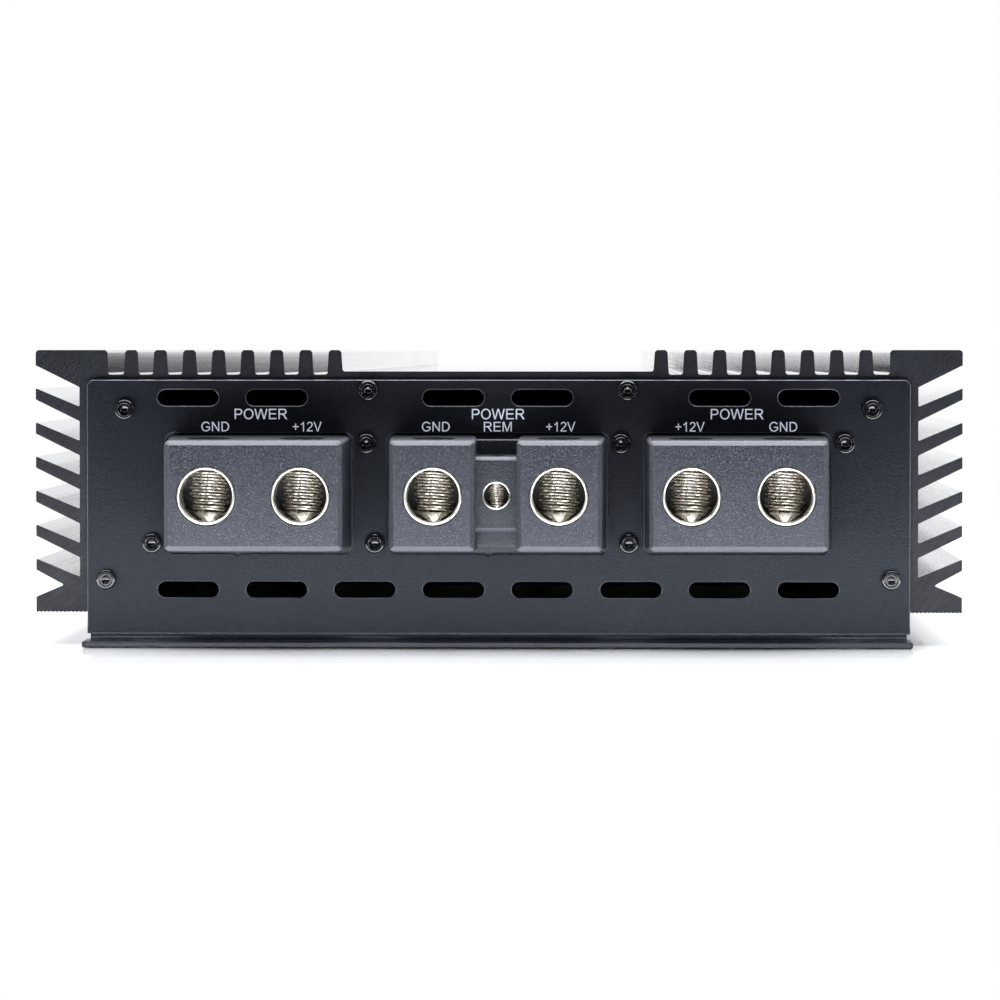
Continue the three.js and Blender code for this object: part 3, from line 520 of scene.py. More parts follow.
# black anodised aluminium: fine die lines along the extrusion, saw-blade arcs on the cut ends; the long faces are
# painted light grey at grazing view as a painted reflection
def anodised():
    m = Mat("anodised_aluminium")
    x, y, z = m.sep(m.co)
    normal = m.n("NewGeometry").outputs["Normal"]
    ny = m.math("ABSOLUTE", m.sep(normal)[1])
    end = m.math("GREATER_THAN", ny, 0.6)
    # long faces
    lines = m.noise(1.0, 3.0, 0.6, m.scaled(2300, 5, 2300))
    broad = m.noise(1.0, 2.0, 0.5, m.scaled(260, 3, 260))
    cloud = m.noise(14.0, 3.0, 0.6)
    long_col = m.ramp(lines, (0.010, 0.011, 0.0145), (0.026, 0.028, 0.034), 0.3, 0.72)
    long_rough = m.math("ADD", m.ramp(lines, 0.16, 0.30, 0.3, 0.7), m.ramp(cloud, -0.03, 0.05, 0.3, 0.7))
    # sawn ends
    dx = m.math("ADD", x, 0.354)
    dz = m.math("SUBTRACT", z, 0.355)
    dist = m.math("SQRT", m.math("ADD", m.math("MULTIPLY", dx, dx), m.math("MULTIPLY", dz, dz)))
    wob = m.noise(90.0, 2.0, 0.5)
    phase = m.math("ADD", m.math("MULTIPLY", dist, 2 * math.pi / 0.00058), m.math("MULTIPLY", wob, 1.6))
    coarse = m.math("ADD", m.math("MULTIPLY", m.math("SINE", phase), 0.5), 0.5)
    phase2 = m.math("ADD", m.math("MULTIPLY", dist, 2 * math.pi / 0.0019), m.math("MULTIPLY", wob, 3.0))
    fine = m.math("ADD", m.math("MULTIPLY", m.math("SINE", phase2), 0.5), 0.5)
    patch = m.noise(420.0, 2.0, 0.6)
    depth = m.ramp(m.noise(160.0, 2.0, 0.6), 0.55, 1.0, 0.35, 0.65)
    saw = m.math("MULTIPLY", m.math("ADD", m.math("MULTIPLY", coarse, 0.82), m.math("MULTIPLY", fine, 0.18)), depth)
    sawn = m.math("ADD", saw, m.math("MULTIPLY", patch, 0.35))
    end_col = m.ramp(sawn, (0.0012, 0.0018, 0.0036), (0.018, 0.021, 0.031), 0.34, 1.1)
    end_rough = m.ramp(sawn, 0.6, 0.4, 0.2, 1.1)
    # at grazing view the long faces are painted light grey, lighter still near edge-on: painted reflection of the
    # bright backdrop beyond the fins
    facing = m.n("LayerWeight", None, Blend=0.5).outputs["Facing"]
    sheen_mask = m.n("MapRange", {"interpolation_type": "SMOOTHSTEP"}, Value=facing, From_Min=0.80, From_Max=0.93).outputs[0]
    sheen_mask = m.math("MULTIPLY", sheen_mask, m.math("SUBTRACT", 1.0, end))
    far_sheen = m.n("MapRange", {"interpolation_type": "SMOOTHSTEP"}, Value=facing, From_Min=0.93, From_Max=0.992).outputs[0]
    sheen_col = m.ramp(lines, (0.05, 0.05, 0.053), (0.22, 0.22, 0.228), 0.38, 0.62)
    long_col = m.mix(sheen_mask, long_col, m.mix(far_sheen, sheen_col, m.ramp(lines, (0.17, 0.17, 0.17), (0.36, 0.36, 0.36), 0.38, 0.62)))
    long_rough = m.math("MULTIPLY", long_rough, m.math("SUBTRACT", 1.0, m.math("MULTIPLY", sheen_mask, 0.65)))
    m.set(
        Base_Color=m.mix(end, long_col, end_col),
        Roughness=m.math("ADD", m.math("MULTIPLY", end, m.math("SUBTRACT", end_rough, long_rough)), long_rough),
        Metallic=m.math("MAXIMUM", m.math("ADD", m.math("MULTIPLY", end, -0.2), 0.3), sheen_mask),
    )
    m.put(m.p.inputs["Specular IOR Level"], m.math("ADD", m.math("MULTIPLY", end, -0.5), 0.85))
    h = m.math(
        "ADD",
        m.math(
            "MULTIPLY",
            m.math("SUBTRACT", m.math("SUBTRACT", 1.0, end), m.math("MULTIPLY", sheen_mask, 0.92)),
            m.math("ADD", lines, m.math("MULTIPLY", broad, 0.8)),
        ),
        m.math("MULTIPLY", end, m.math("MULTIPLY", sawn, 1.6)),
    )
    m.set(Normal=m.bump(h, 0.3, 0.00005))
    return m.m


# black powder coat: fine orange peel with pinpoint speckle; edges and the foot flange are painted lighter as painted
# light
def powder():
    m = Mat("powder_coat")
    peel = m.noise(2100.0, 2.0, 0.55)
    grain = m.noise(2600.0, 2.0, 0.6)
    cloud = m.noise(22.0, 3.0, 0.55)
    speck = m.ramp(m.noise(5200.0, 1.0, 0.5), 0.0, 1.0, 0.68, 0.8)
    base = m.ramp(grain, (0.0010, 0.0013, 0.0025), (0.0085, 0.0098, 0.0140), 0.34, 0.66)
    base = m.mix(m.math("MULTIPLY", speck, 0.35), base, (0.045, 0.048, 0.058))
    base = m.mix(m.ramp(cloud, 0.0, 0.25, 0.35, 0.75), base, (0.009, 0.010, 0.013))
    nx, ny, nz = m.sep(m.n("NewGeometry").outputs["Normal"])
    flat = m.math("MAXIMUM", m.math("MAXIMUM", m.math("ABSOLUTE", nx), m.math("ABSOLUTE", ny)), m.math("ABSOLUTE", nz))
    # edges, vent rims and the top edge painted lighter and glossier: painted highlight where the rounded edges catch
    # the light
    edge_highlight = m.n("MapRange", {"interpolation_type": "SMOOTHSTEP"}, Value=flat, From_Min=0.985, From_Max=0.86).outputs[0]
    edge_highlight = m.math("MULTIPLY", edge_highlight, m.math("GREATER_THAN", m.sep(m.co)[2], 0.0045))
    base = m.mix(m.math("MULTIPLY", edge_highlight, 0.8), base, (0.10, 0.105, 0.13))
    rough = m.math("ADD", m.ramp(grain, 0.34, 0.48, 0.34, 0.66), m.ramp(cloud, -0.03, 0.03, 0.3, 0.7))
    # the foot flange is painted a lighter grey, painted light, and given streaky gloss
    foot = m.math("LESS_THAN", m.sep(m.co)[2], 0.0030)
    drawn = m.noise(1.0, 3.0, 0.6, m.scaled(14, 1500, 1500))
    rough = m.math("ADD", m.math("MULTIPLY", rough, m.math("SUBTRACT", 1.0, foot)), m.math("MULTIPLY", foot, m.ramp(drawn, 0.10, 0.30, 0.35, 0.65)))
    base = m.mix(m.math("MULTIPLY", foot, 0.7), base, (0.022, 0.023, 0.030))
    m.set(Base_Color=base, Roughness=m.math("MULTIPLY", rough, m.math("SUBTRACT", 1.0, m.math("MULTIPLY", edge_highlight, 0.5))))
    m.put(m.p.inputs["Specular IOR Level"], m.math("ADD", 0.27, m.math("MULTIPLY", edge_highlight, 0.65)))
    m.put(m.p.inputs["Specular Tint"], (0.80, 0.87, 1.0))
    h = m.math("ADD", peel, m.math("MULTIPLY", grain, 0.5))
    m.set(Normal=m.bump(h, 0.7, 0.00011))
    return m.m


# dark grey moulded plastic with a spark-eroded surface; top and bottom chamfers painted lighter as a painted highlight
def housing_plastic():
    m = Mat("terminal_plastic")
    grain = m.noise(2500.0, 2.0, 0.6)
    fleck = m.ramp(m.noise(2300.0, 1.0, 0.5), 0.0, 1.0, 0.58, 0.74)
    pit = m.ramp(m.noise(2100.0, 1.0, 0.5), 1.0, 0.0, 0.26, 0.38)
    cloud = m.noise(30.0, 3.0, 0.6)
    base = m.ramp(grain, (0.005, 0.006, 0.0095), (0.026, 0.0285, 0.038), 0.34, 0.66)
    base = m.mix(m.math("MULTIPLY", fleck, 0.5), base, (0.12, 0.125, 0.145))
    base = m.mix(m.math("MULTIPLY", pit, 0.5), base, (0.03, 0.031, 0.037))
    base = m.mix(m.ramp(cloud, 0.0, 0.3, 0.4, 0.75), base, (0.034, 0.036, 0.045))
    nx, ny, nz = m.sep(m.n("NewGeometry").outputs["Normal"])
    flat = m.math("MAXIMUM", m.math("MAXIMUM", m.math("ABSOLUTE", nx), m.math("ABSOLUTE", ny)), m.math("ABSOLUTE", nz))
    # top and bottom chamfers painted lighter: painted highlight
    edge_highlight = m.n("MapRange", {"interpolation_type": "SMOOTHSTEP"}, Value=flat, From_Min=0.97, From_Max=0.84).outputs[0]
    edge_highlight = m.math("MULTIPLY", edge_highlight, m.math("GREATER_THAN", m.math("ABSOLUTE", nz), 0.35))
    base = m.mix(m.math("MULTIPLY", edge_highlight, 0.75), base, (0.115, 0.12, 0.14))
    m.set(Base_Color=base, Roughness=m.ramp(grain, 0.34, 0.47, 0.34, 0.66))
    m.put(m.p.inputs["Specular IOR Level"], 0.50)
    m.put(m.p.inputs["Specular Tint"], (0.9, 0.93, 1.0))
    h = m.math("ADD", grain, m.math("MULTIPLY", fleck, 0.3))
    m.set(Normal=m.bump(h, 0.8, 0.00013))
    return m.m


# bright nickel over turned brass
def nickel(name="nickel_plate", tint=(0.97, 0.93, 0.86), rough=0.24):
    m = Mat(name)
    tool = m.noise(1.0, 2.0, 0.6, m.scaled(700, 5200, 700))
    haze = m.noise(420.0, 3.0, 0.6)
    spot = m.ramp(m.noise(900.0, 2.0, 0.6), 0.0, 1.0, 0.62, 0.8)
    dull = tuple(c * 0.8 for c in tint)
    base = m.mix(m.ramp(haze, 0.0, 0.7, 0.35, 0.75), tint, dull)
    base = m.mix(m.math("MULTIPLY", spot, 0.25), base, (0.5, 0.42, 0.33))
    m.set(Base_Color=base, Metallic=1.0, Roughness=m.ramp(haze, rough, rough + 0.13, 0.3, 0.75))
    m.set(Normal=m.bump(m.math("ADD", tool, haze), 0.1, 0.000012))
    return m.m


# the flat bottom of a drilled bore: slightly rough, painted dark as painted shade deep in the bore
def bore_floor_shade():
    m = Mat("bore_floor_shade")
    g = m.noise(900.0, 3.0, 0.6)
    m.set(
        Base_Color=m.ramp(g, (0.004, 0.004, 0.0045), (0.013, 0.0125, 0.0125), 0.3, 0.7),
        Metallic=0.55,
        Roughness=m.ramp(g, 0.3, 0.42, 0.3, 0.7),
        Normal=m.bump(g, 0.1, 0.00002),
    )
    return m.m


# cut thread in plated brass, slightly torn: crests and roots keep the bright plating, the mid-flanks are painted dark
# as painted shade, and the thread is painted darker towards the sides of the hole as painted shade
def cut_thread(name, tap_y, r_in, r_out):
    m = Mat(name)
    x, y, _ = m.sep(m.co)
    dy = m.math("SUBTRACT", y, tap_y * MM)
    rad = m.math("SQRT", m.math("ADD", m.math("MULTIPLY", x, x), m.math("MULTIPLY", dy, dy)))
    depth = m.n("MapRange", Value=rad, From_Min=r_in * MM, From_Max=r_out * MM).outputs[0]
    # mid-flanks painted dark, crests and roots left bright: painted shade that leaves two bright lines per pitch
    flank_shade = m.math("ABSOLUTE", m.math("SUBTRACT", m.math("MULTIPLY", depth, 2.0), 1.0))
    flank_shade = m.n("MapRange", {"interpolation_type": "SMOOTHSTEP"}, Value=flank_shade, From_Min=0.92, From_Max=0.35).outputs[0]
    # the thread painted darker towards the sides of the hole: painted shade, leaving a lit column down the middle
    side_shade = m.n("MapRange", {"interpolation_type": "SMOOTHSTEP"}, Value=m.math("ABSOLUTE", m.math("ADD", x, 0.0004)), From_Min=r_in * 0.15 * MM, From_Max=r_out * 0.95 * MM).outputs[0]
    g = m.noise(1.0, 3.0, 0.6, m.scaled(700, 700, 2200))
    tear = m.ramp(m.noise(1.0, 2.0, 0.6, m.scaled(1100, 1100, 2600)), 0.0, 1.0, 0.62, 0.76)
    crest = m.ramp(g, (0.90, 0.86, 0.78), (1.0, 0.98, 0.94), 0.3, 0.65)
    crest = m.mix(m.math("MULTIPLY", tear, 0.25), crest, (0.35, 0.31, 0.26))
    # the dark colour laid on the mid-flanks: painted shade
    root = m.ramp(g, (0.05, 0.042, 0.034), (0.13, 0.11, 0.09), 0.3, 0.7)
    # crests and roots are rounded, so shading leans towards the hole's own surface
    inward = m.n("CombineXYZ", None, X=m.math("MULTIPLY", x, -1.0), Y=m.math("MULTIPLY", dy, -1.0), Z=0.0).outputs[0]
    inward = m.n("VectorMath", {"operation": "NORMALIZE"}, i0=inward).outputs[0]
    inward = m.n("VectorMath", {"operation": "ADD"}, i0=inward, i1=m.n("NewGeometry").outputs["Normal"]).outputs[0]
    inward = m.n("VectorMath", {"operation": "NORMALIZE"}, i0=inward).outputs[0]
    m.set(
        Base_Color=m.mix(m.math("MULTIPLY", flank_shade, 0.92), m.mix(m.math("MULTIPLY", side_shade, 0.62), crest, (0.30, 0.26, 0.21)), root),
        Metallic=0.8,
        Roughness=m.ramp(g, 0.2, 0.3, 0.3, 0.7),
        Normal=m.bump(g, 0.06, 0.000008, inward),
    )
    return m.m


# glossy black oxide on small screws
def black_oxide():
    m = Mat("black_oxide")
    grain = m.noise(2600.0, 2.0, 0.6)
    rub = m.noise(500.0, 3.0, 0.6)
    base = m.ramp(rub, (0.003, 0.0035, 0.0045), (0.010, 0.0105, 0.0135), 0.3, 0.75)
    m.set(Base_Color=base, Roughness=m.ramp(grain, 0.09, 0.17, 0.3, 0.7), Metallic=0.2)
    m.put(m.p.inputs["Specular IOR Level"], 0.9)
    m.set(Normal=m.bump(grain, 0.08, 0.00002))
    return m.m


def zinc(name="zinc_plate", tint=(0.46, 0.46, 0.48), rough=0.3):
    m = Mat(name)
    grain = m.noise(1400.0, 3.0, 0.6)
    cloud = m.noise(120.0, 3.0, 0.6)
    m.set(
        Base_Color=m.ramp(cloud, tuple(c * 0.75 for c in tint), tint, 0.3, 0.7),
        Metallic=1.0,
        Roughness=m.ramp(grain, rough, rough + 0.16, 0.3, 0.7),
        Normal=m.bump(grain, 0.2, 0.00004),
    )
    return m.m


def circuit_board():
    m = Mat("circuit_board")
    x, y, z = m.sep(m.co)
    cells = m.n("TexVoronoi", {"distance": "MANHATTAN"}, Vector=m.co, Scale=140.0)
    track = m.math("LESS_THAN", m.math("FRACT", m.math("MULTIPLY", cells.outputs["Distance"], 9.0)), 0.35)
    pads = m.math("LESS_THAN", m.n("TexVoronoi", None, Vector=m.co, Scale=330.0).outputs["Distance"], 0.12)
    weave = m.noise(2600.0, 2.0, 0.5)
    base = m.mix(track, (0.006, 0.04, 0.016), (0.011, 0.075, 0.03))
    base = m.mix(pads, base, (0.55, 0.5, 0.42))
    m.set(
        Base_Color=base,
        Metallic=m.math("MULTIPLY", pads, 0.8),
        Roughness=m.ramp(weave, 0.3, 0.42, 0.3, 0.7),
        Normal=m.bump(m.math("ADD", track, m.math("MULTIPLY", weave, 0.4)), 0.3, 0.00004),
    )
    return m.m


def enamelled_copper():
    m = Mat("enamelled_copper")
    var = m.noise(260.0, 3.0, 0.6)
    fine = m.noise(2200.0, 2.0, 0.6)
    m.set(
        Base_Color=m.ramp(var, (0.36, 0.10, 0.028), (0.72, 0.27, 0.09), 0.3, 0.7),
        Metallic=0.85,
        Roughness=m.ramp(fine, 0.2, 0.34, 0.3, 0.7),
        Normal=m.bump(fine, 0.15, 0.00003),
    )
    m.put(m.p.inputs["Coat Weight"], 0.5)
    return m.m


def ferrite():
    m = Mat("core_wrap")
    g = m.noise(900.0, 3.0, 0.6)
    m.set(
        Base_Color=m.ramp(g, (0.13, 0.10, 0.03), (0.27, 0.21, 0.07), 0.3, 0.7),
        Roughness=m.ramp(g, 0.5, 0.7, 0.3, 0.7),
        Normal=m.bump(g, 0.3, 0.0001),
    )
    return m.m


def black_plastic(name="black_plastic", tint=(0.012, 0.012, 0.0135), rough=0.34):
    m = Mat(name)
    g = m.noise(2600.0, 2.0, 0.6)
    c = m.noise(90.0, 3.0, 0.6)
    m.set(
        Base_Color=m.ramp(g, tuple(0.75 * v for v in tint), tuple(1.5 * v for v in tint), 0.3, 0.7),
        Roughness=m.math("ADD", m.ramp(g, rough, rough + 0.1, 0.3, 0.7), m.ramp(c, -0.03, 0.04, 0.3, 0.7)),
        Normal=m.bump(g, 0.2, 0.00004),
    )
    return m.m


def lens(name, tint):
    m = Mat(name)
    g = m.noise(600.0, 2.0, 0.5)
    m.set(
        Base_Color=m.ramp(g, tuple(0.8 * v for v in tint), tint, 0.3, 0.7),
        Roughness=m.ramp(g, 0.06, 0.12, 0.3, 0.7),
        Normal=m.bump(g, 0.05, 0.00003),
    )
    m.put(m.p.inputs["Transmission Weight"], 0.55)
    m.put(m.p.inputs["IOR"], 1.5)
    return m.m


def sleeve_print():
    m = Mat("capacitor_sleeve")
    x, y, z = m.sep(m.co)
    g = m.noise(700.0, 2.0, 0.6)
    ang = m.math("ARCTAN2", y, x)
    stripe = m.math("LESS_THAN", m.math("ABSOLUTE", m.math("SUBTRACT", ang, 2.4)), 0.28)
    dash = m.math("GREATER_THAN", m.math("FRACT", m.math("MULTIPLY", z, 130.0)), 0.55)
    base = m.ramp(g, (0.010, 0.011, 0.014), (0.02, 0.021, 0.026), 0.3, 0.7)
    base = m.mix(stripe, base, (0.42, 0.43, 0.45))
    base = m.mix(m.math("MULTIPLY", m.math("MULTIPLY", stripe, dash), 0.85), base, (0.02, 0.02, 0.024))
    m.set(Base_Color=base, Roughness=m.ramp(g, 0.28, 0.4, 0.3, 0.7), Normal=m.bump(g, 0.15, 0.00008))
    return m.m


def ink():
    m = Mat("white_ink_with_glow")
    g = m.noise(3800.0, 2.0, 0.6)
    c = m.noise(700.0, 2.0, 0.6)
    body = m.ramp(g, (0.66, 0.71, 0.86), (0.84, 0.88, 0.98), 0.25, 0.7)
    m.set(
        Base_Color=body,
        Roughness=m.ramp(c, 0.42, 0.6, 0.3, 0.7),
        Normal=m.bump(g, 0.3, 0.00004),
        # the ink also glows faintly in its own colour: painted light that lifts the print
        Emission_Color=body,
        Emission_Strength=0.22,
    )
    return m.m


ANODISED = anodised()
POWDER = powder()
PLASTIC = housing_plastic()
NICKEL = nickel()
NICKEL_DIM = nickel("nickel_plate_bore", (0.84, 0.77, 0.66), 0.17)
BORE_SHADE = bore_floor_shade()
THREAD = cut_thread("cut_thread", TAP_Y, 4.12, 5.0)
THREAD_FINE = cut_thread("cut_thread_fine", REM_TAP_Y, 1.62, 2.0)
THREAD_SPEAKER = cut_thread("cut_thread_speaker", FACE + 13.0, 2.45, 3.0)
OXIDE = black_oxide()
ZINC = zinc()
STEEL = zinc("set_screw_steel", (0.36, 0.35, 0.35), 0.24)
PCB = circuit_board()
COPPER = enamelled_copper()
CORE = ferrite()
BLACK = black_plastic()
BLACK_SOFT = black_plastic("knob_rubber", (0.016, 0.016, 0.018), 0.5)
WHITE_PLASTIC = black_plastic("white_insulator", (0.62, 0.62, 0.6), 0.35)
RED_PLASTIC = black_plastic("red_insulator", (0.42, 0.02, 0.016), 0.35)
SLEEVE = sleeve_print()
INK = ink()
BLUE_LENS = lens("blue_lens", (0.10, 0.28, 0.85))
RED_LENS = lens("red_lens", (0.75, 0.05, 0.03))

# ---------------------------------------------------------------- heatsink
PORTS = [(93.4, 58.85), (32.4, 63.6), (98.2, 16.25)]


def heatsink_half():
    p = []
    for k in range(8):
        c = 40.8 + 7.3 * k
        zl = 68.4 if k == 0 else 67.6
        p += [(c - 1.9 - 0.4, zl), (c - 1.9, zl + 0.4), (c - 1.6, 73.75 - 0.55), (c - 1.6 + 0.55, 73.75)]
        p += [(c + 1.6 - 0.55, 73.75), (c + 1.6, 73.75 - 0.55), (c + 1.9, 68.0), (c + 2.3, 67.6)]
    p += [(97.4, 67.6), (97.8, 68.0), (97.9, 73.15), (98.5, 73.75), (115.2, 73.75), (115.78, 73.53)]
    p += [(116, 72.95), (116, 69.9), (105, 64.45)]
    for k in range(6):
        d = 8.55 * k
        p += [(105, 59.55 - d), (116, 64.18 - d), (116, 61.33 - d)]
        if k < 5:
            p += [(105, 55.92 - d)]
        else:
            p += [(109.5, 15.1), (109.2, 14.87), (109.5, 14.6)]
    p += [(116, 11.85), (116, 8.1), (115.8, 7.9)]
    x = 115.8
    for _ in range(13):
        p.append((x - 0.5, 8.2))
        x -= 1.0
        p.append((x, 7.9))
    p += [(100.4, 7.9), (100.4, 9.75), (92.8, 9.75), (92.8, 20.5), (93.6, 21.3), (100, 21.3), (100, 23.2)]
    p += [(102, 23.2), (102, 25.4), (100, 25.4), (100, 53.9), (99.1, 54.8), (91.2, 54.8), (89.4, 56.6)]
    p += [(89.4, 63.4), (88.7, 64.1), (36.9, 64.1), (36.2, 62.4), (35.1, 60.7), (33.4, 59.8), (31.4, 59.8)]
    p += [(29.7, 60.7), (28.6, 62.4), (27.9, 64.1)]
    return p


half = heatsink_half()
profile = half + [(-x, z) for x, z in reversed(half)]
profile = fillet(profile, 0.22, 2)
ports = [circle(s * x, z, 1.5, 24) for x, z in PORTS for s in (-1, 1)]
even(
    place(
        "heatsink_extrusion",
        plate("heatsink_extrusion", profile, ports, -END_Y, END_Y, bevel=0.07, res=1, smooth=40),
        ANODISED,
        stands_for=("heatsink",),
    )
)

# ---------------------------------------------------------------- folded end panels
BEND_R = 1.2
ARC = math.pi / 2 * (BEND_R + SHEET * 0.45)
SLOT_X = (11.1, 33.3, 55.4, 77.6)


def folded_panel(name, side, holes):
    """Cut flat with its holes, then folded: wall above, foot flange turned outwards."""
    top = 66.3
    bend_z = SHEET + BEND_R
    flange = 13 - BEND_R
    w, nw = 103.0, 102.2
    r = 1.75
    # flat pattern: t is 0 at the top of the bend, up the wall is positive
    right = []
    for i in range(9):
        a = math.radians(90 - 90 * i / 8)
        right.append((w - r + r * math.cos(a), top - bend_z - r + r * math.sin(a)))
    right += [(w, 0.0), (nw, 0.0), (nw, -ARC), (w, -ARC)]
    for i in range(5):
        a = math.radians(-90 * i / 4)
        right.append((w - 1.0 + 1.0 * math.cos(a), -ARC - flange + 1.0 + 1.0 * math.sin(a)))
    outline = right + [(-x, t) for x, t in reversed(right)]
    flat = [[(x, z - bend_z) for x, z in h] for h in holes]
    for s in (-1, 1):
        flat.append([(s * 88 + a, -ARC - (8.2 - BEND_R) + b) for a, b in obround(0, 0, 9, 5)])
    me = poly_curve([outline] + flat, SHEET / 2, 0.32, 3)
    bm = bmesh.new()
    bm.from_mesh(me)
    bmesh.ops.remove_doubles(bm, verts=bm.verts, dist=1e-3)
    for k in range(9):
        bmesh.ops.bisect_plane(
            bm, geom=bm.verts[:] + bm.edges[:] + bm.faces[:], dist=1e-4, plane_co=(0, -ARC * k / 8, 0), plane_no=(0, 1, 0)
        )
    for v in bm.verts:
        x, t, n = v.co.x, v.co.y, v.co.z + SHEET / 2
        if t >= 0:
            y, z = END_Y + n, bend_z + t
        elif t >= -ARC:
            a = -t / ARC * math.pi / 2
            rr = BEND_R + SHEET - n
            y, z = FACE + BEND_R - rr * math.cos(a), bend_z - rr * math.sin(a)
        else:
            y, z = FACE + BEND_R + (-t - ARC), n
        v.co = Vector((x, side * y, z)) * MM
    bmesh.ops.remove_doubles(bm, verts=bm.verts, dist=1e-6)
    bmesh.ops.recalc_face_normals(bm, faces=bm.faces)
    bm.to_mesh(me)
    bm.free()
    me.name = name
    me.materials.clear()
    return shade(me, 28)


def keyed(loop, x, z, r=0.75):
    """A cut-out with a small relief nick in its lower edge at x."""
    out = []
    n = len(loop)
    for i in range(n):
        a, b = loop[i], loop[(i + 1) % n]
        out.append(a)
        if abs(a[1] - z) < 1e-6 and abs(b[1] - z) < 1e-6 and min(a[0], b[0]) < x - r and max(a[0], b[0]) > x + r:
            way = 1 if b[0] > a[0] else -1
            for k in range(7):
                t = math.pi * k / 6
                out.append((x - way * r * math.cos(t), z - r * 0.8 * math.sin(t)))
    return out


cut_half_h = 13.65 + 0.95 + 0.6
side_hw = 22.0 + 0.95 + 0.6
cut_low = BLOCK_Z - cut_half_h
block_screws = [(-86.6, 25.35), (-32.8, 50.35), (-30.75, 25.35), (30.75, 50.35), (32.8, 25.35), (86.6, 50.35)]
port_screws = [(s * x, z) for x, z in PORTS for s in (-1, 1)]
vents_low = [obround(s * x, 13.75, 15.3, 4) for x in SLOT_X for s in (-1, 1)]
vents_high = [obround(s * x, 61.8, 15.3, 4) for x in (11.1, 55.4, 77.6) for s in (-1, 1)]
power_holes = (
    vents_low
    + vents_high
    + [
        keyed(round_rect(-59.7, BLOCK_Z, side_hw, cut_half_h, 2.2), -65.4, cut_low),
        round_rect(59.7, BLOCK_Z, side_hw, cut_half_h, 2.2),
        keyed(round_rect(0, BLOCK_Z, 26.2 + 0.95 + 0.6, cut_half_h, 2.2), -2.4, cut_low),
    ]
    + [circle(x, z, 1.7, 24) for x, z in port_screws + block_screws]
)
even(
    place(
        "power_end_panel_sheet",
        folded_panel("power_end_panel_sheet", -1, power_holes),
        POWDER,
        stands_for=("power_end_panel",),
    )
)
SPEAKER_X = -56.0
speaker_screws = [(SPEAKER_X - 38.4, 50.35), (SPEAKER_X + 38.4, 25.35)]
KNOBS = ("level_knob", "low_pass_knob", "subsonic_knob", "bass_boost_knob")
control_holes = (
    vents_low
    + [round_rect(SPEAKER_X, BLOCK_Z, 33 + 0.95 + 0.6, cut_half_h, 2.2)]
    + [circle(x, z, 5.2, 32) for x in (6, 22) for z in (32, 47.5)]
    + [circle(float(centre_mm(k)[0]), 47.5, 3.6, 32) for k in KNOBS]
    + [round_rect(50, 28.5, 4.6, 2.0, 0.4, 3), round_rect(68, 27.5, 6.4, 5.4, 0.4, 3)]
    + [circle(x, 30.5, 1.75, 20) for x in (84, 90)]
    + [circle(x, z, 1.7, 24) for x, z in port_screws + speaker_screws]
)
even(
    place(
        "control_end_panel_sheet",
        folded_panel("control_end_panel_sheet", 1, control_holes),
        POWDER,
        stands_for=("control_end_panel",),
    )
)


# ---------------------------------------------------------------- screws
def cap_screw(name, length):
    """Socket cap screw, its head resting on y = 0 and facing -Y."""
    prof = [(0, -length), (1.0, -length), (1.38, -length + 0.5), (1.38, 0.02)]
    prof += [(2.38, 0.0), (2.5, 0.12), (2.5, 1.28)]
    for i in range(1, 7):
        a = math.radians(90 * i / 6)
        prof.append((2.5 - 0.5 * (1 - math.cos(a)), 1.28 + 0.52 * math.sin(a)))
    prof += [(1.92, 1.8), (1.84, 1.74), (1.76, 1.74), (1.7, 1.86), (1.62, 1.9), (1.55, 1.88), (1.42, 1.68), (0, 1.68)]
    body = lathe(name, prof, 56, "-y", 24)
    hexagon = [(2.4 / math.sqrt(3) * math.cos(math.pi / 6 + k * math.pi / 3), 2.4 / math.sqrt(3) * math.sin(math.pi / 6 + k * math.pi / 3)) for k in range(6)]
    pit = prism("pit", hexagon, -2.6, -0.75, "XZ")
    drill = lathe("drill", [(0, -0.1), (1.12, 0.72), (1.12, 1.2), (0, 1.2)], 32, "-y", 24)
    return solid(name, body, [("DIFFERENCE", pit), ("DIFFERENCE", drill)], 24)


screw_long = cap_screw("screw_long", 9.0)
screw_short = cap_screw("screw_short", 4.2)


def turned_copy(me, angle):
    out = me.copy()
    out.transform(Matrix.Rotation(angle, 4, "Y"))
    return shade(out, 24)


for i in range(1, 13):
    node = "panel_screw_%02d" % i
    c = centre_mm(node)
    me = turned_copy(screw_long if i <= 6 else screw_short, float(RNG.uniform(0, math.pi / 3)))
    place(node + "_cap", me, OXIDE, stands_for=(node,), at=(c[0], -FACE, c[2]))
for i, (x, z) in enumerate(port_screws + speaker_screws):
    me = turned_copy(screw_long if i < 6 else screw_short, float(RNG.uniform(0, math.pi / 3)))
    me.transform(Matrix.Rotation(math.pi, 4, "Z"))
    place("control_panel_screw_%d" % (i + 1), shade(me, 24), OXIDE, at=(x, FACE, z))


# ---------------------------------------------------------------- power terminal housings
def face_edge(front, cx, cz, hw, hh, r_corner, chamfer=1.2, way=1.0):
    """Sections of a moulded block's front: flat face, chamfer with soft ends, then the side wall."""
    steps = [(1.42, 0.0), (1.3, 0.015), (1.16, 0.075), (1.04, 0.17), (0.2, 1.0), (0.09, 1.13), (0.025, 1.28), (0.0, 1.48)]
    k = chamfer / 1.2
    out = []
    for inset, depth in steps:
        out.append((front + way * depth * k, cx, cz, hw - inset * k, hh - inset * k, max(0.35, r_corner - inset * k * 0.8)))
    return out


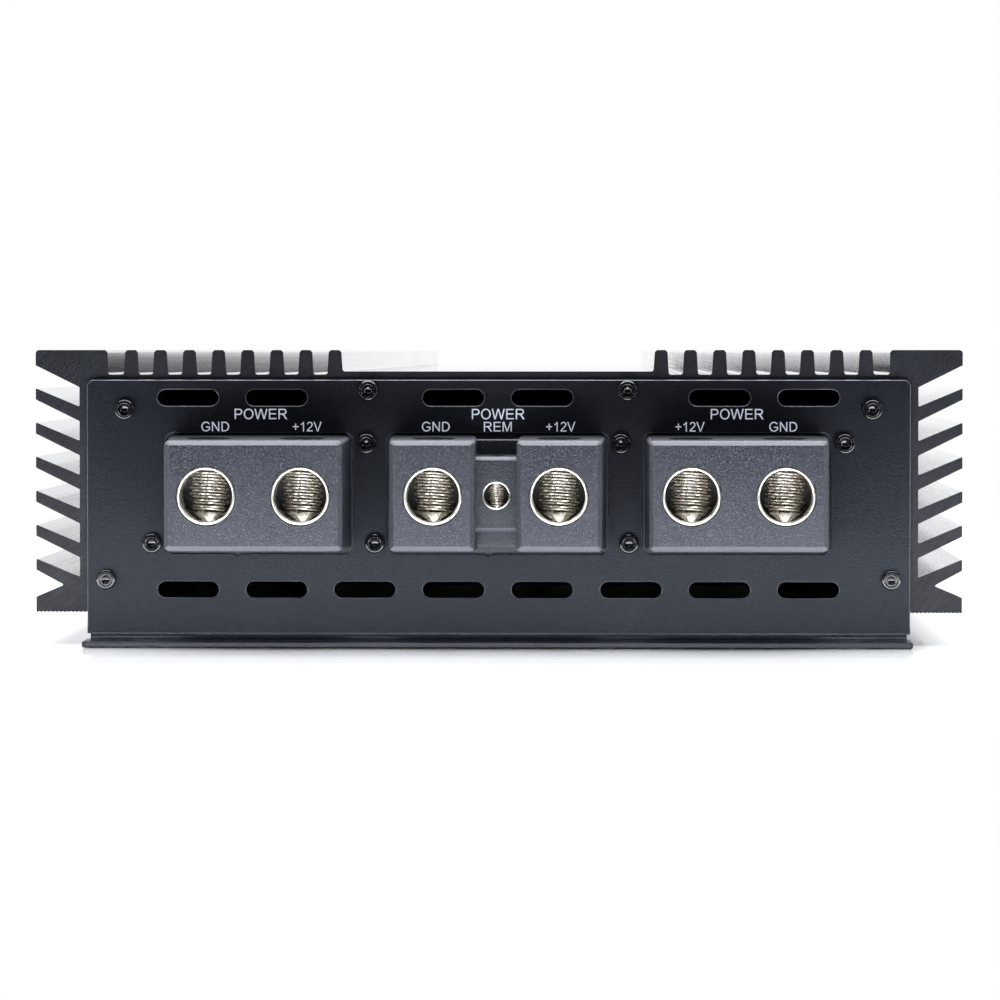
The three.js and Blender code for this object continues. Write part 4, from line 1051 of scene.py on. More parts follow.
def rear_flange(x0, x1, ears):
    parts = [brick(x0, x1, -END_Y + 0.05, -END_Y + 3, BLOCK_Z - 16.6, BLOCK_Z + 16.6)]
    for ex, ez, way in ears:
        parts.append(
            brick(
                min(ex - 4, ex - way * 10),
                max(ex + 4, ex - way * 10),
                -END_Y + 0.05,
                -END_Y + 3,
                max(ez - 4, BLOCK_Z - 16.6),
                min(ez + 4, BLOCK_Z + 16.6),
            )
        )
    return parts


def pocket(x):
    return [
        ("DIFFERENCE", brick(x - 8.8, x + 8.8, FRONT + 1.6, -END_Y + 4, BLOCK_Z - 10.3, BLOCK_Z + 10.8)),
        ("DIFFERENCE", prism("mouth", circle(x, BLOCK_Z, 7.4, 72), FRONT - 1, FRONT + 2, "XZ")),
        ("DIFFERENCE", prism("access", circle(x, TAP_Y, 5.5, 48), BLOCK_Z + 10, BLOCK_Z + 16)),
    ]


def ear_holes(ears):
    return [("DIFFERENCE", prism("ear", circle(x, z, 1.5, 24), -END_Y - 1, -END_Y + 4, "XZ")) for x, z, _ in ears]


def side_housing(name, cx):
    ears = [(cx - 26.9, 25.35, -1), (cx + 26.9, 50.35, 1)]
    sections = face_edge(FRONT, cx, BLOCK_Z, 22.0, 13.65, 1.5)
    sections.append((-END_Y + 1, cx, BLOCK_Z, 22.95, 14.6, 1.8))
    base = loft(name, sections, 7)
    ops = [("UNION", b) for b in rear_flange(cx - 24, cx + 24, ears)]
    ops += pocket(cx - 11.6) + pocket(cx + 11.6) + ear_holes(ears)
    return solid(name, base, ops, 26)


def centre_housing(name):
    ears = [(-30.75, 25.35, -1), (30.75, 50.35, 1)]
    mid, hw = (5.1 + 26.2) / 2, (26.2 - 5.1) / 2

    def tall(s):
        sections = face_edge(FRONT, s * mid, BLOCK_Z, hw, 13.65, 1.2)
        sections.append((-END_Y + 1, s * (mid + 0.475), BLOCK_Z, hw + 0.475, 14.6, 1.5))
        return loft("tall", sections, 6)

    rem = [
        (REM_FRONT, 0, BLOCK_Z + 0.3, 5.45, 9.3 - 1.05, 0.2),
        (REM_FRONT + 0.05, 0, BLOCK_Z + 0.3, 5.45, 9.3 - 0.9, 0.2),
        (REM_FRONT + 0.2, 0, BLOCK_Z + 0.3, 5.45, 9.3 - 0.72, 0.2),
        (REM_FRONT + 0.82, 0, BLOCK_Z + 0.3, 5.45, 9.3 - 0.1, 0.2),
        (REM_FRONT + 1.05, 0, BLOCK_Z + 0.3, 5.45, 9.3, 0.2),
        (-END_Y + 1, 0, BLOCK_Z + 0.3, 5.45, 9.7, 0.2),
    ]
    web = soft_box("web", -6, 6, -(FACE + 3), -END_Y + 1, BLOCK_Z - 13.4, BLOCK_Z + 13.7, 0.6, 3)
    ops = [("UNION", tall(1)), ("UNION", loft("rem", rem, 2)), ("UNION", web)]
    ops += [("UNION", b) for b in rear_flange(-28, 28, ears)]
    ops += pocket(-15.5) + pocket(15.5)
    ops += [
        ("DIFFERENCE", prism("r1", circle(0, BLOCK_Z, 4.5, 40), REM_FRONT + 1.2, -END_Y + 4, "XZ")),
        ("DIFFERENCE", prism("r2", circle(0, BLOCK_Z, 3.62, 48), REM_FRONT - 1, REM_FRONT + 2, "XZ")),
        ("DIFFERENCE", prism("r3", circle(0, REM_TAP_Y, 2.4, 32), BLOCK_Z + 3, BLOCK_Z + 12)),
    ]
    ops += ear_holes(ears)
    return solid(name, tall(-1), ops, 26)


for side, cx in (("left", -59.7), ("right", 59.7)):
    n = "terminal_housing_" + side
    even(place(n + "_moulding", side_housing(n + "_moulding", cx), PLASTIC, stands_for=(n,)))
even(
    place(
        "terminal_housing_centre_moulding",
        centre_housing("terminal_housing_centre_moulding"),
        PLASTIC,
        stands_for=("terminal_housing_centre",),
    )
)


# ---------------------------------------------------------------- power terminals and their clamping screws
def rounded_lip(front, r_in, r_out, back, way=1.0, n=7):
    """Profile of a collar whose front lip is half round: from the outside, over the lip, into the bore."""
    mid, rr = (r_in + r_out) / 2, (r_out - r_in) / 2
    prof = [(0, back), (r_out, back)]
    for i in range(n + 1):
        a = math.pi * i / n
        prof.append((mid + rr * math.cos(a), front + way * (rr - rr * math.sin(a))))
    return prof


def power_terminal():
    """Plated clamp block at x = 0: half-round lip, blind cable bore, tapped hole from above ending in a drill point."""
    body = brick(-8.5, 8.5, FRONT + 1.9, -END_Y + 1, BLOCK_Z - 10, BLOCK_Z + 10.4)
    bore = prism("bore", circle(0, BLOCK_Z, 6.5, 96), FRONT + 0.6, TAP_Y, "XZ")
    tap = thread_rod(
        "tap", 4.12, 5.0, PITCH, BLOCK_Z - 4.3, BLOCK_Z + 14, 64, 8, foot=[(0, BLOCK_Z - 7.0), (1.4, BLOCK_Z - 6.3), (4.05, BLOCK_Z - 4.5)]
    )
    tap.transform(Matrix.Translation((0, TAP_Y * MM, 0)))
    ring = lathe("ring", [(p[0], p[1]) for p in rounded_lip(FRONT + 0.18, 6.5, 7.25, FRONT + 3.0)[1:]] + [(6.5, FRONT + 3.0)], 96, "y", 30)
    ring.transform(Matrix.Translation((0, 0, BLOCK_Z * MM)))
    lug1 = brick(-6, 6, -END_Y, -END_Y + 16, BLOCK_Z - 1.5, BLOCK_Z + 1.5)
    lug2 = brick(-6, 6, -END_Y + 13, -END_Y + 16, BOARD_TOP + 0.1, BLOCK_Z + 1.5)
    return solid(
        "power_terminal",
        body,
        [
            ("UNION", lug1),
            ("UNION", lug2),
            ("DIFFERENCE", bore),
            ("UNION", ring),
            ("DIFFERENCE", tap),
        ],
        30,
    )


def hex_loop(af, phase=0.0):
    r = af / math.sqrt(3)
    return [(r * math.cos(phase + k * math.pi / 3), r * math.sin(phase + k * math.pi / 3)) for k in range(6)]


def set_screw(name, r_in, r_out, pitch, length, socket, n=48):
    """Grub screw standing on z = 0: cup point, helical thread, hex socket in its top."""
    rod = thread_rod(
        name,
        r_in,
        r_out,
        pitch,
        pitch * 0.5,
        length - pitch * 0.35,
        n,
        8,
        foot=[(0, 0.55), (r_in * 0.45, 0.0), (r_in * 0.72, 0.0), (r_in * 0.96, pitch * 0.35)],
        head=[(r_in * 0.98, length - 0.12), (r_in * 0.9, length), (socket * 0.66, length), (socket * 0.58, length - 0.25), (0, length - 0.25)],
    )
    pit = prism("pit", hex_loop(socket), length * 0.45, length + 1)
    return solid(name, rod, [("DIFFERENCE", pit)], 40)


def in_phase(me, bottom, pitch):
    """A screw standing at this height, turned so that its thread runs on from the hole's."""
    me.transform(Matrix.Rotation(2 * math.pi * bottom / pitch, 4, "Z"))
    return shade(me, 40)


def split_metal(me, tap_y, r_tap, r_bore, top, thread=None):
    """The plating, the thread and the bore's bottom each take their own material; the bore's bottom takes a dark one,
    painted shade.
    """
    for m in (NICKEL, thread or THREAD, BORE_SHADE):
        me.materials.append(m)
    for p in me.polygons:
        c, n = p.center * 1000, p.normal
        if abs(c.y - tap_y) < 0.03 and abs(n.y) > 0.98 and math.hypot(c.x, c.z - BLOCK_Z) < r_bore + 0.02:
            p.material_index = 2
        elif math.hypot(c.x, c.y - tap_y) < r_tap + 0.02 and c.z < top:
            p.material_index = 1
    return me


terminal_mesh = split_metal(power_terminal(), TAP_Y, 5.0, 6.5, BLOCK_Z + 10.3)
grub_mesh = in_phase(set_screw("grub_power", 4.0, 4.86, PITCH, 6.8, 5.0, 64), float(box_mm("set_screw_left_gnd")[0][2]), PITCH)
for n in ("left_gnd", "left_12v", "centre_gnd", "centre_12v", "right_12v", "right_gnd"):
    c = centre_mm("terminal_" + n)
    place("terminal_%s_block" % n, terminal_mesh, NICKEL, stands_for=("terminal_" + n,), at=(c[0], 0, 0))
    lo, hi = box_mm("set_screw_" + n)
    place(
        "set_screw_%s_grub" % n,
        grub_mesh,
        STEEL,
        body="set_screw_" + n,
        stands_for=("set_screw_" + n,),
        at=((lo[0] + hi[0]) / 2, (lo[1] + hi[1]) / 2, lo[2]),
    )


def remote_terminal():
    body = prism("rb", circle(0, BLOCK_Z, 4.2, 40), REM_FRONT + 1.5, -END_Y + 4, "XZ")
    ring = lathe("rr", rounded_lip(REM_FRONT + 0.16, 3.1, 3.52, REM_FRONT + 3.0)[1:] + [(3.1, REM_FRONT + 3.0)], 64, "y", 30)
    ring.transform(Matrix.Translation((0, 0, BLOCK_Z * MM)))
    bore = prism("rbore", circle(0, BLOCK_Z, 3.1, 64), REM_FRONT + 0.5, REM_TAP_Y, "XZ")
    tap = thread_rod(
        "rtap", 1.62, 2.0, REM_PITCH, BLOCK_Z - 2.4, BLOCK_Z + 8, 40, 8, foot=[(0, BLOCK_Z - 3.4), (0.6, BLOCK_Z - 3.05), (1.6, BLOCK_Z - 2.5)]
    )
    tap.transform(Matrix.Translation((0, REM_TAP_Y * MM, 0)))
    return solid(
        "terminal_remote_block",
        body,
        [
            ("UNION", brick(-1.5, 1.5, -END_Y + 3, -END_Y + 10, BLOCK_Z - 1, BLOCK_Z + 1)),
            ("UNION", brick(-1.5, 1.5, -END_Y + 8, -END_Y + 10, BOARD_TOP + 0.1, BLOCK_Z + 1)),
            ("DIFFERENCE", bore),
            ("UNION", ring),
            ("DIFFERENCE", tap),
        ],
        30,
    )


place("terminal_remote_block", split_metal(remote_terminal(), REM_TAP_Y, 2.0, 3.1, BLOCK_Z + 4.1, THREAD_FINE), NICKEL, stands_for=("terminal_remote",))
lo, hi = box_mm("set_screw_remote")
place(
    "set_screw_remote_grub",
    in_phase(set_screw("grub_remote", 1.55, 1.90, REM_PITCH, 4.6, 2.0, 40), float(lo[2]), REM_PITCH),
    STEEL,
    body="set_screw_remote",
    stands_for=("set_screw_remote",),
    at=((lo[0] + hi[0]) / 2, (lo[1] + hi[1]) / 2, lo[2]),
)

# ---------------------------------------------------------------- control end
OUT = FACE + 21.0
SP_TAP_Y = OUT - 8.0
speaker_xs = [SPEAKER_X + k * 15.6 for k in (-1.5, -0.5, 0.5, 1.5)]


def speaker_housing(name):
    sections = face_edge(OUT, SPEAKER_X, BLOCK_Z, 33, 13.65, 1.5, way=-1.0)
    sections.append((END_Y - 1, SPEAKER_X, BLOCK_Z, 33.95, 14.6, 1.8))
    base = loft(name, sections, 7)
    lo_y, hi_y = END_Y - 3, END_Y - 0.05
    ops = [
        ("UNION", brick(SPEAKER_X - 35, SPEAKER_X + 35, lo_y, hi_y, BLOCK_Z - 16.6, BLOCK_Z + 16.6)),
        ("UNION", brick(SPEAKER_X - 42.2, SPEAKER_X - 30, lo_y, hi_y, 46.4, BLOCK_Z + 16.6)),
        ("UNION", brick(SPEAKER_X + 30, SPEAKER_X + 42.2, lo_y, hi_y, BLOCK_Z - 16.6, 29.4)),
    ]
    for x in speaker_xs:
        ops += [
            ("DIFFERENCE", brick(x - 6.6, x + 6.6, END_Y - 4, OUT - 1.6, BLOCK_Z - 8.3, BLOCK_Z + 8.8)),
            ("DIFFERENCE", prism("m", circle(x, BLOCK_Z, 4.85, 56), OUT - 2, OUT + 1, "XZ")),
            ("DIFFERENCE", prism("a", circle(x, SP_TAP_Y, 3.5, 36), BLOCK_Z + 8, BLOCK_Z + 16)),
        ]
    for x, z in speaker_screws:
        ops.append(("DIFFERENCE", prism("e", circle(x, z, 1.5, 24), END_Y - 4, END_Y + 1, "XZ")))
    return solid(name, base, ops, 26)


place(
    "speaker_terminal_housing_moulding",
    speaker_housing("speaker_terminal_housing_moulding"),
    PLASTIC,
    stands_for=("speaker_terminal_housing",),
)


def speaker_terminal():
    body = brick(-6.3, 6.3, END_Y - 1, OUT - 1.9, BLOCK_Z - 8, BLOCK_Z + 8.4)
    ring = lathe("sr", rounded_lip(OUT - 0.18, 4.15, 4.7, OUT - 3.0, -1.0)[1:] + [(4.15, OUT - 3.0)], 72, "y", 30)
    ring.transform(Matrix.Translation((0, 0, BLOCK_Z * MM)))
    bore = prism("sb", circle(0, BLOCK_Z, 4.15, 72), SP_TAP_Y, OUT - 0.5, "XZ")
    tap = thread_rod(
        "st", 2.45, 3.0, SP_PITCH, BLOCK_Z - 3.2, BLOCK_Z + 12, 48, 8, foot=[(0, BLOCK_Z - 4.8), (0.9, BLOCK_Z - 4.3), (2.4, BLOCK_Z - 3.3)]
    )
    tap.transform(Matrix.Translation((0, SP_TAP_Y * MM, 0)))
    return solid(
        "speaker_terminal",
        body,
        [
            ("UNION", brick(-3, 3, END_Y - 12, END_Y, BLOCK_Z - 1, BLOCK_Z + 1)),
            ("UNION", brick(-3, 3, END_Y - 12, END_Y - 10, BOARD_TOP + 0.1, BLOCK_Z + 1)),
            ("DIFFERENCE", bore),
            ("UNION", ring),
            ("DIFFERENCE", tap),
        ],
        30,
    )


sp_mesh = split_metal(speaker_terminal(), SP_TAP_Y, 3.0, 4.15, BLOCK_Z + 8.3, THREAD_SPEAKER)
sp_grub = in_phase(set_screw("grub_speaker", 2.38, 2.9, SP_PITCH, 6.2, 3.0, 48), float(box_mm("speaker_set_screw_1")[0][2]), SP_PITCH)
for i, x in enumerate(speaker_xs):
    n = "speaker_terminal_%d" % (i + 1)
    place(n + "_block", sp_mesh, NICKEL, stands_for=(n,), at=(x, 0, 0))
    s = "speaker_set_screw_%d" % (i + 1)
    lo, hi = box_mm(s)
    place(
        s + "_grub",
        sp_grub,
        STEEL,
        body=s,
        stands_for=(s,),
        at=((lo[0] + hi[0]) / 2, (lo[1] + hi[1]) / 2, lo[2]),
    )

# signal jacks: moulded body, plated sleeves, coloured insulators
jack_parts = [soft_box("jb", -3, 31, END_Y - 22, END_Y - 0.1, 27, 53.5, 0.6, 3)]
jack_ops = []
for x in (0.5, 27.5):
    jack_ops.append(("UNION", brick(x - 2, x + 2, END_Y - 20, END_Y - 6, BOARD_TOP + 0.1, 28)))
for x in (6, 22):
    for z in (32, 47.5):
        collar = lathe("jc", [(0, END_Y - 2), (4.5, END_Y - 2), (4.5, FACE + 1.5), (4.35, FACE + 1.7), (0, FACE + 1.7)], 48, "y")
        jack_ops.append(("UNION", moved(collar, x, 0, z)))
for x in (6, 22):
    for z in (32, 47.5):
        jack_ops.append(("DIFFERENCE", prism("jh", circle(x, z, 4.16, 48), END_Y - 6, FACE + 3, "XZ")))
place(
    "rca_jack_block_moulding",
    solid("rca_jack_block_moulding", jack_parts[0], jack_ops, 28),
    BLACK,
    stands_for=("rca_jack_block",),
)
sleeve_prof = [(4.12, END_Y - 4), (4.12, FACE + 8.6), (4.02, FACE + 8.9), (3.85, FACE + 9.0), (3.7, FACE + 8.9), (3.62, FACE + 8.6), (3.62, END_Y - 4)]
sleeve_mesh = lathe("jack_sleeve", sleeve_prof, 56, "y", 30)
ins_prof = [(3.58, END_Y - 5), (3.58, FACE + 7.9), (3.4, FACE + 8.15), (1.95, FACE + 8.15), (1.7, FACE + 7.95), (1.65, FACE + 7.6), (1.65, END_Y - 5)]
ins_meshes = [lathe("jack_insulator_%s" % c, ins_prof, 48, "y", 30) for c in ("white", "red")]
pin_prof = [(1.6, END_Y - 4.5), (1.6, FACE + 6.4), (1.45, FACE + 6.6), (1.3, FACE + 6.4), (1.3, END_Y - 3.5), (0, END_Y - 3.5), (0, END_Y - 4.5)]
pin_mesh = lathe("jack_contact", list(reversed(pin_prof)), 32, "y", 30)
k = 0
for x in (6, 22):
    for zi, z in enumerate((32, 47.5)):
        k += 1
        place("rca_sleeve_%d" % k, sleeve_mesh, NICKEL, at=(x, 0, z))
        place("rca_insulator_%d" % k, ins_meshes[zi], (RED_PLASTIC, WHITE_PLASTIC)[1 - zi], at=(x, 0, z))
        place("rca_contact_%d" % k, pin_mesh, NICKEL_DIM, at=(x, 0, z))


# knobs with fine flutes and a pointer line
def knob():
    def flute(r, h, a):
        if r < 3.4 or h < FACE + 1.3:
            return r
        return r - 0.16 * (0.5 - 0.5 * math.cos(24 * a))

    prof = [(0, END_Y - 7.8), (2.8, END_Y - 7.8), (3.0, END_Y - 7.6), (3.0, FACE + 0.8), (3.9, FACE + 0.8), (4.0, FACE + 0.95)]
    prof += [(4.0, FACE + 1.25), (4.0, FACE + 1.45), (3.97, FACE + 6.9)]
    for i in range(1, 6):
        a = math.radians(90 * i / 5)
        prof.append((3.97 - 0.6 * (1 - math.cos(a)), FACE + 6.9 + 0.6 * math.sin(a)))
    prof += [(3.2, FACE + 7.55), (3.05, FACE + 7.5), (2.9, FACE + 7.42), (0, FACE + 7.42)]
    body = lathe("knob", prof, 144, "y", 30, flute)
    groove = soft_box("groove", -0.42, 0.42, FACE + 6.95, FACE + 9, 0.5, 5, 0.1, 2)
    return solid("knob", body, [("DIFFERENCE", groove)], 30)


knob_mesh = knob()
pointer_mesh = soft_box("pointer", -0.38, 0.38, FACE + 6.93, FACE + 7.3, 0.55, 3.55, 0.08, 2)
for name in KNOBS:
    c = centre_mm(name)
    place(name + "_fluted", knob_mesh, BLACK_SOFT, body=name, stands_for=(name,), at=(c[0], 0, 47.5))
    place(name + "_pointer", pointer_mesh, INK, body=name, at=(c[0], 0, 47.5))
# dial ticks printed round each knob
tick_parts = []
for name in KNOBS:
    c = centre_mm(name)
    for i in range(11):
        a = math.radians(90 + 150 - 30 * i)
        ln = 0.9 if i in (0, 5, 10) else 0.6
        r0, r1, hw = 4.75, 4.75 + ln, 0.11
        u, v = (math.cos(a), math.sin(a)), (-math.sin(a), math.cos(a))
        loop = [
            (c[0] + u[0] * r0 + v[0] * hw, 47.5 + u[1] * r0 + v[1] * hw),
            (c[0] + u[0] * r1 + v[0] * hw, 47.5 + u[1] * r1 + v[1] * hw),
            (c[0] + u[0] * r1 - v[0] * hw, 47.5 + u[1] * r1 - v[1] * hw),
            (c[0] + u[0] * r0 - v[0] * hw, 47.5 + u[1] * r0 - v[1] * hw),
        ]
        tick_parts.append(prism("tick", loop, FACE + 0.002, FACE + 0.025, "XZ"))
place("dial_ticks", joined("dial_ticks", tick_parts), INK)

# mode switch lever, remote port, indicator lenses
lo, hi = box_mm("mode_switch_lever")
lx = (lo[0] + hi[0]) / 2
lever = solid(
    "lever",
    soft_box("lv", lx - 2.4, lx + 2.4, END_Y - 6.4, END_Y - 3.2, 27.1, 29.9, 0.3, 2),
    [("UNION", soft_box("lv2", lx - 1.4, lx + 1.4, END_Y - 4, FACE + 2.2, 27.2, 29.8, 0.35, 3))]
    + [("DIFFERENCE", brick(lx - 0.95 + 0.75 * i, lx - 0.7 + 0.75 * i, FACE + 1.95, FACE + 3, 26, 31)) for i in range(3)],
    28,
)
place("mode_switch_lever_cap", lever, BLACK, body="mode_switch_lever", stands_for=("mode_switch_lever",))
px, pz = 68.0, 27.5
port = solid(
    "port",
    soft_box("pj", px - 6.1, px + 6.1, END_Y - 8.8, FACE + 0.3, pz - 1.9, pz + 5.1, 0.3, 2),
    [
        ("DIFFERENCE", brick(px - 4.8, px + 4.8, END_Y - 6, FACE + 1, pz - 0.6, pz + 4)),
        ("DIFFERENCE", brick(px - 2.2, px + 2.2, END_Y - 6, FACE + 1, pz - 1.3, pz)),
    ],
    28,
)
place("remote_port_jack_shell", port, BLACK, stands_for=("remote_port_jack",))
pins = []
for i in range(4):
    x = px - 1.9 + i * 1.27
    pins.append(tube("pin", [(x, END_Y - 5.9, pz + 3.6), (x, END_Y - 3.5, pz + 3.1), (x, END_Y - 0.6, pz + 1.6), (x, END_Y - 0.2, pz + 1.2)], 0.2, 8))
place("remote_port_contacts", joined("remote_port_contacts", pins), NICKEL_DIM)
for node, mat in (("power_led_lens", BLUE_LENS), ("protect_led_lens", RED_LENS)):
    c = centre_mm(node)
    prof = [(0, END_Y - 6), (1.9, END_Y - 6), (1.9, END_Y - 0.2), (1.5, END_Y - 0.2), (1.5, FACE + 0.1)]
    for i in range(1, 8):
        a = math.radians(90 * i / 7)
        prof.append((1.5 * math.cos(a) if i < 7 else 0.0, FACE + 0.1 + 1.35 * math.sin(a)))
    me = lathe(node + "_dome", prof, 40, "y", 30)
    place(node + "_dome", me, mat, stands_for=(node,), at=(c[0], 0, c[2]))

# ---------------------------------------------------------------- bottom cover and its screws
cover_holes = [circle(x, y, 1.7, 24) for y in (-285, -95, 95, 285) for x in (-96.6, 96.6)]
cover_holes += [obround(x, y, 22, 4, 8) for y in (-200, 200) for x in (-60, -20, 20, 60)]
place(
    "bottom_cover_sheet",
    plate("bottom_cover_sheet", round_rect(0, 0, 100, 299.5, 1.0, 4), cover_holes, 8.15, 9.65, plane="XY", bevel=0.2, res=2, smooth=28),
    POWDER,
    stands_for=("bottom_cover",),
)
low_screw = solid(
    "low_screw",
    lathe("ls", [(0, 1.2), (1.3, 1.2), (1.3, -0.05), (2.6, -0.05), (2.75, -0.12), (2.6, -0.6), (2.0, -0.98), (1.2, -1.15), (0, -1.2)], 48, "z", 26),
    [("DIFFERENCE", brick(-1.25, 1.25, -0.2, 0.2, -2, -0.45)), ("DIFFERENCE", brick(-0.2, 0.2, -1.25, 1.25, -2, -0.45))],
    26,
)
k = 0
for y in (-285, -95, 95, 285):
    for x in (-96.6, 96.6):
        k += 1
        place("cover_screw_%d" % k, low_screw, OXIDE, at=(x, y, 8.13))


# ---------------------------------------------------------------- inside
def toroid(node, turns, wire=0.85):
    """Wire wound round a wrapped ring core, standing where the frame has its plain ring."""
    lo, hi = box_mm(node)
    cx, cy = (lo[0] + hi[0]) / 2, (lo[1] + hi[1]) / 2
    ro, ri = (hi[0] - lo[0]) / 2, 11.2
    z0, z1 = lo[2], hi[2]
    c = 3.0
    core = lathe(
        node + "_core",
        [(ri + 2.2, z0 + 4), (ri + 4, z0 + 2.2), (ro - 4, z0 + 2.2), (ro - 2.2, z0 + 4), (ro - 2.2, z1 - 4), (ro - 4, z1 - 2.2), (ri + 4, z1 - 2.2), (ri + 2.2, z1 - 4)],
        72,
        "z",
        30,
    )
    core.transform(Matrix.Translation((cx * MM, cy * MM, 0)))
    path = [(r, z) for r, z in round_rect((ro + ri) / 2, (z0 + z1) / 2, (ro - ri) / 2 - wire, (z1 - z0) / 2 - wire, c, 3)]
    wires = []
    for t in range(turns):
        a0 = 2 * math.pi * t / turns
        lean = 2 * math.pi / turns * 0.5
        pts = []
        m = len(path)
        for i, (r, z) in enumerate(path):
            a = a0 + lean * math.sin(2 * math.pi * i / m) * 0.35
            pts.append((cx + r * math.cos(a), cy + r * math.sin(a), z))
        wires.append(tube("w", pts, wire * 0.98, 8, closed=True))
    place(node + "_core_ring", core, CORE)
    place(node + "_winding", joined(node + "_winding", wires, 60), COPPER, stands_for=(node,))


toroid("power_transformer_left", 38)
toroid("power_transformer_right", 38)
toroid("output_inductor", 34, 1.0)
for node in ("reservoir_capacitor_left", "reservoir_capacitor_right"):
    lo, hi = box_mm(node)
    r, h = 12.5, hi[2] - lo[2]
    prof = [(0, 0), (r - 0.7, 0), (r - 0.15, 0.5), (r, 1.2), (r, 2.2), (r - 0.7, 3.0), (r, 3.8), (r, h - 1.2), (r - 0.4, h - 0.3), (r - 1.1, h), (r - 1.9, h - 0.05), (r - 2.0, h - 0.4)]
    prof += [(0, h - 0.4)]
    me = lathe(node + "_sleeve", prof, 64, "z", 28)
    place(node + "_can", me, SLEEVE, stands_for=(node,), at=((lo[0] + hi[0]) / 2, (lo[1] + hi[1]) / 2, lo[2]))
    disc = solid(
        "cap_top",
        lathe("ct", [(0, h - 0.42), (r - 2.2, h - 0.42), (r - 2.2, h - 0.12), (r - 2.5, h - 0.02), (0, h - 0.02)], 48, "z", 28),
        [("DIFFERENCE", brick(-6, 6, -0.25, 0.25, h - 0.2, h + 1)), ("DIFFERENCE", brick(-0.25, 0.25, -6, 6, h - 0.2, h + 1))],
        28,
    )
    place(node + "_vent_disc", disc, ZINC, at=((lo[0] + hi[0]) / 2, (lo[1] + hi[1]) / 2, lo[2]))
# thick enamelled leads rising from the transformers behind the high vents
leads = []
for s, x0, x1, zt in ((-1, -86, -58, 61.6), (-1, -66, -40, 60.4), (1, 52, 84, 61.4), (1, 60, 90, 60.2)):
    pts = []
    for i in range(15):
        t = i / 14
        pts.append((x0 + (x1 - x0) * t, -272 + 26 * t + 5 * math.sin(3 * t), 53.5 + (zt - 53.5) * math.sin(math.pi * min(1.0, t * 1.05)) ** 0.6))
    leads.append(tube("lead", pts, 1.1, 10))
place("transformer_leads", joined("transformer_leads", leads, 60), COPPER)

# power transistors under the clamp bars
tabs = []
for s in (-1, 1):
    for i in range(12):
        y = -178 + 32.4 * i
        x = s * 97.55
        b = soft_box("tb", x - 2.2, x + 2.2, y - 5, y + 5, 28.2, 35.6, 0.35, 2)
        tabs.append(b)
place("power_transistors", joined("power_transistors", tabs, 30), BLACK)

# small parts standing on the board
smalls, chips = [], []
can_prof = [(0, 0), (3.6, 0), (4, 0.5), (4, 1.4), (3.7, 1.8), (4, 2.2), (4, 12.2), (3.6, 12.8), (3.0, 12.9), (2.9, 12.7), (0, 12.7)]
small_can = lathe("sc", can_prof, 24, "z", 28)
for x, y in ((-20, -195), (-8, -195), (4, -195), (16, -195), (30, 60), (42, 60), (54, 60), (30, 76), (42, 76), (0, 130), (12, 130), (24, 130)):
    smalls.append(moved(small_can, x, y, BOARD_TOP + 0.05))
place("small_capacitors", joined("small_capacitors", smalls, 28), SLEEVE)
for i in range(40):
    x, y = float(RNG.uniform(-25, 78)), float(RNG.uniform(-150, 40))
    w, d = (5.0, 4.0) if i % 5 == 0 else (1.6, 0.9)
    chips.append(soft_box("ch", x - w, x + w, y - d, y + d, BOARD_TOP + 0.02, BOARD_TOP + (1.8 if w > 2 else 0.9), 0.12, 1))
place("board_chips", joined("board_chips", chips, 30), BLACK)


# CAD pieces whose shape is right keep it and take a worked material
def finish_cad(node, mat, bevel=0.0):
    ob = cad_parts[node]
    ob.data.materials.clear()
    ob.data.materials.append(mat)
    if bevel:
        mod = ob.modifiers.new("edge", "BEVEL")
        mod.width = bevel * MM
        mod.segments = 2
        mod.limit_method = "ANGLE"
        mod.angle_limit = math.radians(40)


finish_cad("main_circuit_board", PCB)
finish_cad("control_board", PCB)
for n in ("transistor_clamp_left", "transistor_clamp_right"):
    finish_cad(n, ZINC, 0.3)


# ---------------------------------------------------------------- printed terminal names
def arc_pts(cx, cy, rx, ry, a0, a1, n=14):
    return [
        (cx + rx * math.cos(math.radians(a0 + (a1 - a0) * i / n)), cy + ry * math.sin(math.radians(a0 + (a1 - a0) * i / n)))
        for i in range(n + 1)
    ]


